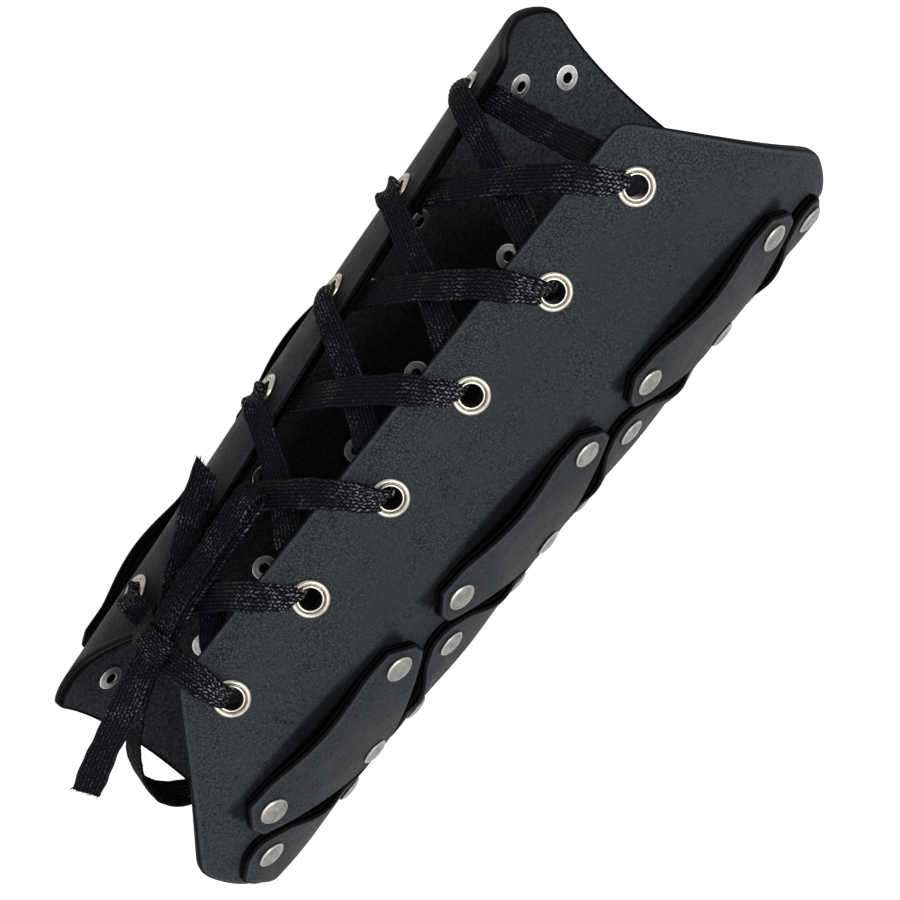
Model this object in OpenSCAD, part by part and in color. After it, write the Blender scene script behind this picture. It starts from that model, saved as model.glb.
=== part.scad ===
// Leather bracer: a tapered shell laced along its open edge, with riveted plates.
// X runs along the arm to the elbow end, Z is up, the lacing gap is on top.
// A place on the shell is given as on the flat pattern: x along the arm, and d, the
// distance round the outer face from the middle line of the pattern, which lies underneath.
// The side with d below 0 is called near, the other far.

/* [Leather shell] */
// Thickness of the shell leather
shell_t = 3.5; // [2.5:0.1:4.5]
// Middle of the arm to the wrist end
wrist_end = 142; // [139:0.5:152]
// Middle of the arm to the elbow end, on the middle line
elbow_end = 133.5; // [132:0.5:145]
// How far the elbow end reaches further out at its rounded corners
elbow_flare = 3.5; // [0:0.5:8]
// Half the width of the flat pattern at the middle of the arm
half_width = 144.5; // [139:0.5:149]
// Growth of that half width, in mm for each mm towards the elbow
edge_slope = 0.0885; // [0.06:0.0005:0.11]
// Growth of the bent section towards the elbow, in percent for each mm
taper = 0.0872; // [0.06:0.0002:0.11]
// Radius that rounds the four corners at the lacing
corner_r = 8; // [3:0.5:12]

/* [Bend of the section] */
// Near side, radius of the bottom stretch
near_r1 = 51; // [48:0.5:58]
// Near side, radius of the side stretch
near_r2 = 82.5; // [76:0.5:90]
// Near side, radius of the top stretch
near_r3 = 53; // [49:0.5:59]
// Far side, radius of the bottom stretch
far_r1 = 50.5; // [47:0.5:56]
// Far side, radius of the side stretch
far_r2 = 48.5; // [46:0.5:53]
// Far side, radius of the top stretch at the middle of the arm
far_r3 = 63.5; // [58:0.5:69]
// Growth of that radius towards the elbow, in percent for each mm
far_open = 0.3; // [0:0.02:0.32]

/* [Slanted ends] */
// Where the wrist end starts to slant back, from the middle line
wrist_shoulder = 88; // [85:0.5:98]
// Slant of the wrist end, mm along the arm for each mm round it
wrist_slant = 0.93; // [0.7:0.01:1]
// Elbow end at the lacing corner, from the middle of the arm
elbow_corner_x = 102; // [100:0.5:108]
// The same corner, from the middle line
elbow_corner_d = 154; // [151:0.5:159]
// Slant of the elbow end
elbow_slant = 0.59; // [0.5:0.01:0.8]

/* [Eyelets] */
// Eyelets on each side
eyelet_n = 6;
// Distance from eyelet to eyelet
eyelet_pitch = 36.5; // [34:0.1:37]
// Eyelet centres to the lacing edge
edge_margin = 15; // [12:0.5:20]
// Outer diameter of an eyelet
eyelet_d = 11.6; // [10.6:0.1:13]
// Diameter of the hole that the lace goes through
eyelet_hole = 6.6; // [6.4:0.1:7]
// Wall of the eyelet's barrel
barrel_wall = 0.5; // [0.3:0.05:0.7]
// Height of the rolled flange
flange_h = 1.1; // [0.8:0.05:1.6]
// Thickness of the washer on the flesh side
washer_t = 0.6; // [0.4:0.05:1]

/* [Plates] */
// Thickness of the plates
plate_t = 3.2; // [2:0.1:4]
// Distance from plate to plate along the arm
plate_pitch = 83.5; // [83:0.1:88]
// Place of the middle side plates along the arm
side_plate_x = -1.3; // [-2:0.1:2]
// Edges of the plates outside the lines through their rivets
plate_border = 9; // [8:0.1:10]
// Rounding of the plates' points
tip_r = 9; // [6:0.5:11]
// Side plates, end rivets from the plate's middle
side_rivet_x = 27.8; // [25:0.1:28.5]
// Side plates, end rivets from the middle line
side_rivet_d = 86.8; // [86:0.1:90]
// Side plates, end rivets to the point rivet, across the arm
side_rivet_drop = 27.4; // [25:0.1:28.5]
// Side plates, half their greatest length
side_half = 36.4; // [35:0.1:38]
// Side plates, half the length of the long edge
side_edge_half = 30.3; // [28:0.1:33]
// Side plates, end rivets to the long edge
side_top = 8.4; // [7.2:0.1:10]
// How far the long edge stands off the shell between the rivets
side_bow = 2.4; // [0:0.1:4]
// Centre plates, side rivets from the middle line
centre_rivet_d = 71.2; // [70:0.1:72]
// Centre plates, inner rivets from the plate's middle
centre_rivet_x = 25.3; // [23:0.1:27]
// Gap between one centre plate and the next
centre_gap = 4; // [2:0.1:7]
// Bare leather between the end plates and the shell's ends
end_bare = 4; // [2:0.1:8]
// How far the centre plates stand off the shell in the middle
centre_bow = 0.9; // [0:0.1:3]
// How far their slanted edges stand off between the rivets
centre_edge_bow = 2; // [0:0.1:3]

/* [Rivets] */
// Diameter of the rivet caps
cap_d = 9.2; // [8:0.1:10]
// Height of the caps above the plate
cap_h = 1.7; // [1.2:0.1:2.4]
// Diameter of the rivet's post
post_d = 3.1; // [2.4:0.1:3.2]
// Diameter of the hole in the rivet backs
back_hole = 3.5; // [3.3:0.1:3.8]
// Diameter of the rivet backs
back_d = 8.8; // [7.5:0.1:10]

/* [Lace] */
// Width of the flat lace
lace_w = 8.3; // [6:0.1:9]
// Thickness of the flat lace
lace_t = 1.5; // [1:0.1:1.8]

/* [Hidden] */
$fn = 48;

// Room between touching leather faces, between metal and what it sits on, and at the lace
seat_gap = 0.35;
metal_gap = 0.08;
lace_gap = 0.2;
// Room round a post or barrel in its hole
hole_gap = 0.2;
// Turn of the section about the middle line, so that it balances where it lies
rest_roll = 8.2;
// Arc lengths at which the bend changes radius
near_to = [59.5, 93];
far_to = [47, 113.5];
near_r = [near_r1, near_r2, near_r3];
function far_r(x) = [far_r1, far_r2, far_r3 * (1 + far_open / 100 * x)];
// Moves the middle of the object's box over the origin and its lowest point onto z = 0
place = [2.79, 9.74, 5.03];
NEAR = -1;
FAR = 1;

leather = [0.13, 0.14, 0.16];
plate_colour = [0.15, 0.165, 0.17];
nickel = [0.62, 0.6, 0.55];
lace_colour = [0.09, 0.09, 0.1];

// Small helpers
function unit(v) = v / norm(v);
function mix(a, b, t) = a * (1 - t) + b * t;
function soft_min(a, b, k) = (a + b - sqrt((a - b) * (a - b) + k * k)) / 2;
function soft_max(a, b, k) = -soft_min(-a, -b, k);

// One arc of the section: point [y, z, heading] after length l at radius r
function arc_on(p, r, l) = let (h = p[2] + l / r * 180 / PI)
    [p[0] + r * (sin(h) - sin(p[2])), p[1] - r * (cos(h) - cos(p[2])), h];
function side_at(a, r, to, tilt) =
    let (p1 = arc_on([0, 0, tilt], r[0], min(a, to[0])))
    let (p2 = arc_on(p1, r[1], max(0, min(a, to[1]) - to[0])))
    arc_on(p2, r[2], max(0, a - to[1]));
// The section at x, before it grows with the taper
function section(x, d) = d < 0
    ? let (p = side_at(-d, near_r, near_to, -rest_roll)) [-p[0], p[1], -p[2]]
    : side_at(d, far_r(x), far_to, rest_roll);

// Point of the outer face, its outward normal, and a point at a height above it
function growth(x) = 1 + taper / 100 * x;
function face(x, d) = let (g = growth(x), q = section(x, d / g)) place + [x, g * q[0], g * q[1]];
probe = 0.1;
function normal_at(x, d) = unit(cross(face(x, d + probe) - face(x, d - probe),
                                      face(x + probe, d) - face(x - probe, d)));
function on(x, d, lift = 0) = face(x, d) + lift * normal_at(x, d);
// Direction round the outer face, towards the lacing edge of that side
function to_edge(x, d) = let (h = section(x, d / growth(x))[2]) sign(d) * [0, cos(h), sin(h)];

// Puts its children at a place on the shell, with +Z outwards
module seat(x, d, lift = 0) {
    n = normal_at(x, d);
    translate(on(x, d, lift))
        rotate([0, acos(n[2]), atan2(n[1], n[0])])
            children();
}

// Closed slab between two matching grids of points, both in rows by d and columns by x
module slab(outer, inner) {
    m = len(outer);
    n = len(outer[0]);
    k = m * n;
    points = concat([for (row = outer) each row], [for (row = inner) each row]);
    skin = [for (i = [0:m - 2], j = [0:n - 2]) let (a = i * n + j)
        each [[a, a + 1, a + n + 1], [a, a + n + 1, a + n],
              [k + a, k + a + n + 1, k + a + 1], [k + a, k + a + n, k + a + n + 1]]];
    low_x = [for (i = [0:m - 2]) let (a = i * n, c = a + n)
        each [[a, c, k + c], [a, k + c, k + a]]];
    high_x = [for (i = [0:m - 2]) let (b = i * n + n - 1, e = b + n)
        each [[e, b, k + b], [e, k + b, k + e]]];
    low_d = [for (j = [0:n - 2]) let (a = j, b = j + 1)
        each [[b, a, k + a], [b, k + a, k + b]]];
    high_d = [for (j = [0:n - 2]) let (c = (m - 1) * n + j, e = c + 1)
        each [[c, e, k + e], [c, k + e, k + c]]];
    polyhedron(points, concat(skin, low_x, high_x, low_d, high_d), convexity = 6);
}

// Flat pattern of the shell
function edge_d(x) = half_width + edge_slope * x;
function eyelet_d_at(x) = edge_d(x) - edge_margin;
function eyelet_x(i) = eyelet_pitch * ((eyelet_n - 1) / 2 - i);
elbow_corner_at = 91;
bend_soft = 3;
function elbow_cut(a) = soft_min(elbow_end + elbow_flare * pow(min(a / elbow_corner_at, 1.2), 2),
                                 elbow_corner_x + elbow_slant * (elbow_corner_d - a), bend_soft);
function wrist_cut(a) = soft_max(-wrist_end, -wrist_end + wrist_slant * (a - wrist_shoulder),
                                 bend_soft);
// How much a corner arc of radius r cuts off a slanted end, at t from the lacing edge
function corner_dip(t, r, m) = t < r * (1 - m / sqrt(1 + m * m))
    ? m * t - m * r + r * sqrt(1 + m * m) - sqrt(r * r - (r - t) * (r - t)) : 0;
// End of the line at share f of the half width; found in a few steps, as the width follows x
function elbow_x(f, x, n = 4) = n == 0 ? x
    : elbow_x(f, elbow_cut(f * edge_d(x))
                 - corner_dip((1 - f) * edge_d(x), corner_r, elbow_slant), n - 1);
function wrist_x(f, x, n = 4) = n == 0 ? x
    : wrist_x(f, wrist_cut(f * edge_d(x))
                 + corner_dip((1 - f) * edge_d(x), corner_r, wrist_slant), n - 1);

shell_steps = 21;
shell_cols = 9;
near_edge_steps = [0.968, 0.982, 0.991, 0.996, 1];
half_rows = concat([for (i = [1:shell_steps - 2]) i / (shell_steps - 1)], near_edge_steps);
shell_rows = concat([for (i = [len(half_rows) - 1:-1:0]) -half_rows[i]], [0], half_rows);

function shell_grid(lift) = [for (f = shell_rows)
    let (x0 = wrist_x(abs(f), -wrist_end), x1 = elbow_x(abs(f), elbow_end))
    [for (j = [0:shell_cols]) let (x = mix(x0, x1, j / shell_cols)) on(x, f * edge_d(x), lift)]];

module leather_shell() {
    color(leather) difference() {
        slab(shell_grid(0), shell_grid(-shell_t));
        for (side = [NEAR, FAR]) {
            for (i = [0:eyelet_n - 1])
                seat(eyelet_x(i), side * eyelet_d_at(eyelet_x(i)))
                    cylinder(d = eyelet_hole + 2 * barrel_wall + 2 * hole_gap,
                             h = 3 * shell_t, center = true);
            for (i = [1:3]) side_rivets(i, side) rivet_hole();
        }
        for (i = [1:4]) centre_rivets(i) rivet_hole();
    }
}

// Rows of a plate: [d, half length] from its point, round the rounded tip, along the edge
slope_side = side_rivet_drop / side_rivet_x;
side_point_d = side_rivet_d - side_rivet_drop;
function tip_rows(corner, slope) = let (s = sqrt(1 + slope * slope), c = corner + tip_r * s)
    [for (i = [1:4]) let (a = atan(slope) * i / 4) [c - tip_r * cos(a), tip_r * sin(a)]];

side_corner = side_point_d - plate_border * sqrt(1 + slope_side * slope_side);
side_top_d = side_rivet_d + side_top;
// The chamfer at each end of the long edge, along the arm and across it
side_chamfer_x = side_half - side_edge_half;
side_chamfer_d = 7;
corner_soft = 0.4;
function side_half_at(v) =
    soft_min(soft_min((v - side_corner) / slope_side, side_half, corner_soft),
             side_edge_half + side_chamfer_x * (side_top_d - v) / side_chamfer_d, corner_soft);
function side_rows() =
    let (tip = tip_rows(side_corner, slope_side), v0 = tip[len(tip) - 1][0], n = 9)
    concat([for (i = [0:len(tip) - 2]) tip[i]],
           [for (i = [0:n]) let (v = mix(v0, side_top_d, i / n)) [v, side_half_at(v)]]);
// Lift of the plate off the shell between its rivets, none of it under the caps
cap_clear = 1.4;
side_reach = side_rivet_x - cap_d / 2 - cap_clear;
function side_lift(u, v) = side_bow
    * pow(max(0, 1 - pow(u / side_reach, 2)), 1.5)
    * pow(max(0, (v - side_point_d - cap_d / 2) / side_rivet_drop), 1.5);

side_cols = 10;
function side_grid(xc, side, lift) = [for (row = side > 0 ? side_rows() : reversed(side_rows()))
    [for (j = [0:side_cols]) let (u = row[1] * (2 * j / side_cols - 1))
        on(xc + u, side * row[0], lift + side_lift(u, row[0]))]];
function reversed(list) = [for (i = [len(list) - 1:-1:0]) list[i]];
function side_x(i) = side_plate_x + plate_pitch * (i - 2);

module side_plate(i, side) {
    color(plate_colour) difference() {
        slab(side_grid(side_x(i), side, seat_gap + plate_t), side_grid(side_x(i), side, seat_gap));
        side_rivets(i, side) rivet_hole();
    }
}

module side_rivets(i, side, lift = 0) {
    for (u = [-1, 1]) seat(side_x(i) + u * side_rivet_x, side * side_rivet_d, lift) children();
    seat(side_x(i), side * side_point_d, lift) children();
}

// Centre plates: whole ones in the middle, cut across near the shell's ends
centre_half = plate_pitch / 2 - centre_gap / 2;
centre_corner = centre_rivet_d + plate_border * sqrt(2);
centre_tip = centre_corner - tip_r * sqrt(2);
centre_inner_d = centre_rivet_d - centre_rivet_x;
function centre_x(i) = side_plate_x + plate_pitch * (i - 2.5);
function centre_half_at(v) = soft_min(centre_corner - abs(v), centre_half, 2 * corner_soft);
function centre_rows() =
    let (tip = [for (i = [1:4]) [centre_tip + tip_r * cos(45 * i / 4), tip_r * sin(45 * i / 4)]])
    let (v0 = tip[3][0], n = 18)
    concat([for (i = [0:2]) [-tip[i][0], tip[i][1]]],
           [for (i = [0:n]) let (v = mix(-v0, v0, i / n)) [v, centre_half_at(v)]],
           [for (i = [2:-1:0]) tip[i]]);
centre_reach = centre_rivet_x - cap_d / 2 - cap_clear;
function fade(t) = 1 - pow(max(0, min(t, 1)), 2) * (3 - 2 * max(0, min(t, 1)));
function belly_lift(u, v) = centre_bow * pow(max(0, 1 - pow(u / centre_reach, 2)), 1.5)
    * fade((abs(v) - centre_inner_d) / (centre_rivet_x - cap_d / 2));
// Along a slanted edge the lift is greatest halfway between two rivets, at the cut itself
edge_reach = centre_rivet_x / sqrt(2) - cap_d / 2 - cap_clear;
function edge_lift(u, v) =
    let (along = (abs(u) - abs(v) + centre_inner_d) / sqrt(2))
    let (outside = (abs(u) + abs(v) - centre_rivet_d) / sqrt(2))
    centre_edge_bow * pow(max(0, 1 - pow(along / edge_reach, 2)), 1.5)
    * (1 - fade(outside / plate_border));
function centre_lift(u, v) = belly_lift(u, v) + edge_lift(u, v);
centre_cols = 8;
// Limits of a plate's length: the end plates stop short of the shell's ends
function low_end(i) = i == 1 ? end_bare - wrist_end - centre_x(1) : -plate_pitch;
function high_end(i) = i == 4 ? elbow_end - end_bare - centre_x(4) : plate_pitch;
function centre_grid(i, lift) = [for (row = centre_rows())
    let (u0 = max(-row[1], low_end(i)), u1 = min(row[1], high_end(i)))
    [for (j = [0:centre_cols]) let (u = mix(u0, u1, j / centre_cols))
        on(centre_x(i) + u, row[0], lift + centre_lift(u, row[0]))]];

module centre_plate(i) {
    color(plate_colour) difference() {
        slab(centre_grid(i, seat_gap + plate_t), centre_grid(i, seat_gap));
        centre_rivets(i) rivet_hole();
    }
}

module centre_rivets(i, lift = 0) {
    for (side = [NEAR, FAR]) {
        seat(centre_x(i), side * centre_rivet_d, lift) children();
        for (u = [i == 1 ? 1 : -1:2:i == 4 ? -1 : 1])
            seat(centre_x(i) + u * centre_rivet_x, side * centre_inner_d, lift) children();
    }
}

// Rivets: a domed cap with a post, and a tubular back pressed on from the flesh side
back_flange = 0.8;
back_wall = 0.35;
back_seat = 0.35;
tube_d = back_hole + 2 * back_wall;
stack = shell_t + seat_gap + plate_t;

module rivet_hole() {
    translate([0, 0, -2 * shell_t]) cylinder(d = tube_d + 2 * hole_gap, h = 4 * stack);
}

module rivet_cap() {
    rim = 0.45;
    dome = [for (i = [0:6]) let (a = 90 * i / 6)
        [(cap_d / 2) * cos(a), metal_gap + rim + (cap_h - rim) * sin(a)]];
    rotate_extrude()
        polygon(concat([[0, -stack * 0.6], [post_d / 2, -stack * 0.6], [post_d / 2, metal_gap],
                        [cap_d / 2 - 0.25, metal_gap], [cap_d / 2, metal_gap + 0.2]], dome));
}

module rivet_back() {
    top = stack - 0.5;
    rotate_extrude()
        polygon([[back_hole / 2, top], [tube_d / 2, top], [tube_d / 2, -back_seat],
                 [back_d / 2 - 0.3, -back_seat], [back_d / 2, -back_seat - 0.3],
                 [back_d / 2 - 0.25, -back_seat - back_flange * 0.8],
                 [back_hole / 2 + 0.5, -back_seat - back_flange],
                 [back_hole / 2, -back_seat - back_flange + 0.3]]);
}

module caps_side(side) {
    color(nickel) for (i = [1:3]) side_rivets(i, side, seat_gap + plate_t) rivet_cap();
}

module backs_side(side) {
    color(nickel) for (i = [1:3]) side_rivets(i, side, -shell_t) rivet_back();
}

// Eyelets: a rolled flange outside, a barrel, and a lip that holds the washer inside
washer_seat = 0.45;
lip_h = 0.8;
hole_r = eyelet_hole / 2;
barrel_r = hole_r + barrel_wall;
lip_z = -shell_t - washer_seat - washer_t - metal_gap;

module eyelet() {
    mid = (hole_r + eyelet_d / 2) / 2;
    half = eyelet_d / 2 - mid;
    roll = [for (i = [0:8]) let (a = 180 - 180 * i / 8)
        [mid + half * cos(a), metal_gap + flange_h * sin(a)]];
    rotate_extrude()
        polygon(concat([[hole_r, lip_z - lip_h * 0.6]], [[hole_r, metal_gap]],
                       [for (i = [1:7]) roll[i]],
                       [[eyelet_d / 2, metal_gap], [barrel_r, metal_gap], [barrel_r, lip_z],
                        [barrel_r + 0.9, lip_z], [barrel_r + 1, lip_z - lip_h * 0.5],
                        [hole_r + 0.7, lip_z - lip_h]]));
}

module washer() {
    z = -shell_t - washer_seat;
    rotate_extrude()
        polygon([[barrel_r + hole_gap / 2, z], [eyelet_d / 2 - 0.2, z], [eyelet_d / 2, z - 0.2],
                 [eyelet_d / 2 - 0.2, z - washer_t], [barrel_r + hole_gap / 2, z - washer_t]]);
}

module at_eyelets(side) {
    for (i = [0:eyelet_n - 1]) seat(eyelet_x(i), side * eyelet_d_at(eyelet_x(i))) children();
}

// Flat lace. A station is [point, reference across the band's face, half width, half thickness]
half_w = lace_w / 2;
half_t = lace_t / 2;
// Folded together inside an eyelet
fold_w = min(half_w, eyelet_hole * 0.4);
fold_t = min(1.5, eyelet_hole * 0.22);
function station(x, a, side, lift, lean, w = half_w, t = half_t) =
    let (d = side * a, n = normal_at(x, d), g = to_edge(x, d))
    [on(x, d, lift), unit(n * cos(lean) + g * sin(lean)), w, t];
over = lace_gap + half_t;
on_flange = metal_gap + flange_h + over;
under_lip = lip_z - lip_h - over;
under_face = -shell_t - over;
// Eyelet centre to where the lace lies flat again, clear of the flange
past_flange = 9;

// Through an eyelet, and out over the lacing edge; s is the drift along x for each mm across
function through(x, side) = station(x, eyelet_d_at(x), side, -shell_t / 2, 90, fold_w, fold_t);
function leave(x, side, s) = let (d = eyelet_d_at(x))
    [station(x, d, side, 0.2, 90, fold_w, fold_t),
     station(x + s, d + 1, side, on_flange - 0.5, -45, mix(fold_w, half_w, 0.3), 1.2),
     station(x + 4 * s, d + 4, side, on_flange + 0.1, 0, mix(fold_w, half_w, 0.7), half_t),
     station(x + past_flange * s, d + past_flange, side, mix(on_flange, over, 0.8), 0),
     station(x + edge_margin * s, d + edge_margin, side, over + 0.15, 0)];
function arrive(x, side, s) = let (d = eyelet_d_at(x))
    [station(x - edge_margin * s, d + edge_margin, side, under_face - 0.3, 0),
     station(x - past_flange * s, d + past_flange, side, mix(under_face, under_lip, 0.6), 0),
     station(x - 4 * s, d + 4, side, under_lip - 0.1, 0, mix(fold_w, half_w, 0.7), half_t),
     station(x - s, d + 1, side, under_lip + 0.6, 45, mix(fold_w, half_w, 0.3), 1.2),
     station(x, d, side, lip_z - 0.2, 90, fold_w, fold_t)];
// Free span between two stations, raised or lowered in its middle
function span(p, q, rise, n = 4) = [for (i = [1:n - 1]) let (t = i / n)
    [mix(p[0], q[0], t) + [0, 0, rise * sin(180 * t)], unit(mix(p[1], q[1], t)), half_w, half_t]];
function last(list) = list[len(list) - 1];

// Crossing i of the lace that starts at one side: out there, in at the next eyelet opposite.
// From the near side it slants more at its start than at its end
pass = 1.8;
near_out = 1.4;
near_in = 0.57;
function gap_at(x) = norm(on(x, edge_d(x)) - on(x, -edge_d(x)));
function crossing(i, side) =
    let (x0 = eyelet_x(i), x1 = eyelet_x(i + 1))
    let (s = (x1 - x0) / (2 * edge_margin + gap_at((x0 + x1) / 2)))
    let (a = leave(x0, side, side == NEAR ? s * near_out : s),
         b = arrive(x1, -side, side == NEAR ? s * near_in : s))
    concat(a, span(last(a), b[0], side == NEAR ? pass : -pass), b, [through(x1, -side)]);
function side_of(i, side) = i % 2 == 0 ? side : -side;
function strand(side) = concat([for (i = [0:eyelet_n - 2]) each crossing(i, side_of(i, side))],
                               last_leave(side_of(eyelet_n - 1, side)));

// The knot lies in the gap past the last eyelets; a wrap goes round the bundle along X
knot_x = -95;
knot_up = 3;
knot_r = 6.5;
knot_core_r = 4.8;
knot_half = 5.5;
wrap_half = 3.6;
knot = (on(knot_x, edge_d(knot_x)) + on(knot_x, -edge_d(knot_x))) / 2 + [0, 0, knot_up];
function last_leave(side) =
    let (x = eyelet_x(eyelet_n - 1), s = (knot_x - x) / (edge_margin + gap_at(x) / 2))
    let (a = leave(x, side, s), end = knot + [0, side * (knot_r + lace_gap), 0])
    concat(a, span(last(a), [end, [0, 0, 1]], 0, 3), [[end, [0, 0, 1], half_w * 0.7, half_t]]);

// The inner bar joins the two first eyelets behind the gap
function bar() =
    let (x = eyelet_x(0), a = arrive(x, FAR, 0), b = arrive(x, NEAR, 0))
    concat(reversed(a), span(a[0], b[0], 0), b);
function lace_route() = concat(reversed(strand(FAR)), [through(eyelet_x(0), FAR)], bar(),
                               [through(eyelet_x(0), NEAR)], strand(NEAR));

// Ring of a flat band round a point, from its direction across (w) and through (t)
function band_ring(p, w, t) = [for (c = [[1, 0.4], [0.8, 1], [-0.8, 1], [-1, 0.4], [-1, -0.4],
                                         [-0.8, -1], [0.8, -1], [1, -0.4]]) p + c[0] * w + c[1] * t];

module band(route) {
    n = len(route);
    ways = [for (i = [0:n - 1])
        unit(route[min(i + 1, n - 1)][0] - route[max(i - 1, 0)][0])];
    loose = [for (i = [0:n - 1]) unit(cross(route[i][1], ways[i]))];
    // Each direction across is turned to agree with the one before it
    across = [for (i = 0, w = loose[0]; i < n;
                   i = i + 1, w = i < n ? (loose[i] * w < 0 ? -loose[i] : loose[i]) : w) w];
    rings = [for (i = [0:n - 1]) let (r = route[i])
        band_ring(r[0], across[i] * r[2], unit(cross(ways[i], across[i])) * r[3])];
    k = len(rings[0]);
    sides = [for (i = [0:n - 2], j = [0:k - 1]) let (a = i * k + j, b = i * k + (j + 1) % k)
        each [[a, b, b + k], [a, b + k, a + k]]];
    start = [for (j = [1:k - 2]) [0, j + 1, j]];
    end = [for (j = [1:k - 2]) (n - 1) * k * [1, 1, 1] + [0, j, j + 1]];
    polyhedron([for (r = rings) each r], concat(sides, start, end), convexity = 20);
}

module lace() {
    color(lace_colour) band(lace_route());
}

module bow_knot() {
    core = [[0, -knot_half], [knot_core_r - 1, -knot_half], [knot_core_r, 1 - knot_half],
            [knot_core_r, knot_half - 1], [knot_core_r - 1, knot_half], [0, knot_half]];
    round = [for (i = [0:8]) let (a = -90 + 180 * i / 8)
        [knot_r - 1.6 + 1.6 * cos(a), (wrap_half - 1) * sign(a) + sin(a)]];
    color(lace_colour) translate(knot) rotate([0, 90, 0]) rotate_extrude() {
        polygon(core);
        polygon(concat([[0, -wrap_half]], round, [[0, wrap_half]]));
    }
}

// Loops and tails of the bow, from the knot: [place from the knot, normal of the band's face]
upper_loop = [[[5.8, -0.5, 2.7], [0, -0.2, 1]], [[16, -0.7, 5.7], [0, -0.15, 1]],
              [[30, -0.6, 7.3], [0, -0.15, 1]], [[44, 0.4, 8.0], [0, -0.15, 1]],
              [[51.5, 1, 8.1], [0.3, -0.1, 1]], [[54, 1.2, 6.1], [1, 0, 0]],
              [[51.5, 1.1, 4.1], [0.3, 0, -1]], [[44, 0.5, 4.1], [0, 0.1, -1]],
              [[30, -0.5, 3.9], [0, 0.1, -1]], [[16, -0.5, 2.6], [0, 0.1, -1]],
              [[5.8, 0, -0.3], [0, 0.1, -1]]];
lower_loop = [[[-4.5, 2.6, -5.2], [-0.7, 0, 0.7]], [[-11, 4.4, -9], [-0.6, 0, 0.8]],
              [[-18.5, 5.2, -13], [-0.6, 0, 0.8]], [[-31, 5.4, -22], [-0.7, 0, 0.7]],
              [[-38.5, 5.4, -31], [-0.9, 0, 0.4]], [[-41.5, 4.4, -41], [-1, 0.2, -0.1]],
              [[-38, 1.8, -48.5], [-0.6, 0.5, -0.7]], [[-30, -1, -52], [0, 0.6, -0.8]],
              [[-20.5, -3, -48.5], [0.6, 0.4, -0.7]], [[-14, -3.2, -38], [0.9, 0.1, -0.3]],
              [[-10, -2.4, -25], [0.9, 0, -0.2]], [[-6, -1.2, -13], [0.9, 0, -0.3]],
              [[-2.6, -0.6, -6.9], [0.8, 0, -0.5]]];
upper_tail = [[[5.6, 3.4, -1.8], [0.2, -0.4, 1]], [[14, 8.4, -0.6], [0.1, -0.4, 1]],
              [[28, 15.2, 2.6], [0, -0.35, 1]], [[40, 21.6, 4.2], [0, -0.3, 1]],
              [[48.3, 26.5, 4.2], [0, -0.2, 1]]];
lower_tail = [[[-5.8, -0.8, 0.4], [-0.3, -0.2, 1]], [[-14, -1.4, -1.6], [-0.25, -0.3, 1]],
              [[-23, -1.5, -4.4], [-0.3, -0.35, 1]], [[-36, -1, -8.5], [-0.3, -0.35, 1]],
              [[-48.8, 0, -13.9], [-0.3, -0.35, 1]]];

// Smooth curve through chosen points, with n steps from one to the next
function curve(a, b, c, d, t) = ((2 * b) + (c - a) * t + (2 * a - 5 * b + 4 * c - d) * t * t
    + (3 * b - a - 3 * c + d) * t * t * t) / 2;
function bow_route(list, n = 2) = let (m = len(list) - 1)
    concat([for (i = [0:m - 1], j = [0:n - 1])
        let (a = list[max(i - 1, 0)], b = list[i], c = list[i + 1], d = list[min(i + 2, m)])
        [knot + curve(a[0], b[0], c[0], d[0], j / n),
         unit(mix(unit(b[1]), unit(c[1]), j / n)), half_w, half_t]],
        [[knot + list[m][0], unit(list[m][1]), half_w, half_t]]);

module bow_piece(list) {
    color(lace_colour) band(bow_route(list));
}

leather_shell();
side_plate(1, NEAR);  // side_plate_near_1
side_plate(2, NEAR);  // side_plate_near_2
side_plate(3, NEAR);  // side_plate_near_3
side_plate(1, FAR);  // side_plate_far_1
side_plate(2, FAR);  // side_plate_far_2
side_plate(3, FAR);  // side_plate_far_3
centre_plate(1);  // centre_plate_1
centre_plate(2);  // centre_plate_2
centre_plate(3);  // centre_plate_3
centre_plate(4);  // centre_plate_4
caps_side(NEAR);  // side_rivet_caps_near
caps_side(FAR);  // side_rivet_caps_far
color(nickel) for (i = [1:4]) centre_rivets(i, seat_gap + plate_t) rivet_cap();  // centre_rivet_caps
backs_side(NEAR);  // side_rivet_backs_near
backs_side(FAR);  // side_rivet_backs_far
color(nickel) for (i = [1:4]) centre_rivets(i, -shell_t) rivet_back();  // centre_rivet_backs
color(nickel) at_eyelets(NEAR) eyelet();  // eyelets_near
color(nickel) at_eyelets(FAR) eyelet();  // eyelets_far
color(nickel) at_eyelets(NEAR) washer();  // eyelet_washers_near
color(nickel) at_eyelets(FAR) washer();  // eyelet_washers_far
lace();
bow_knot();
bow_piece(upper_loop);  // bow_loop_upper
bow_piece(lower_loop);  // bow_loop_lower
bow_piece(upper_tail);  // bow_tail_upper
bow_piece(lower_tail);  // bow_tail_lower
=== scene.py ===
"""A black leather bracer: a tapered shell, laced on top and tied in a bow, with riveted plates.

Lengths are in millimetres until a mesh is made, which is in metres. X runs along the arm to
the elbow, Z is up. A place on the shell is x and d, the distance round its outer face from the
middle line of the pattern, with d below 0 on the near side, and a lift above that face.
"""
import math

import bpy
import numpy as np
from mathutils import Matrix, Vector
from mathutils.geometry import delaunay_2d_cdt


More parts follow.
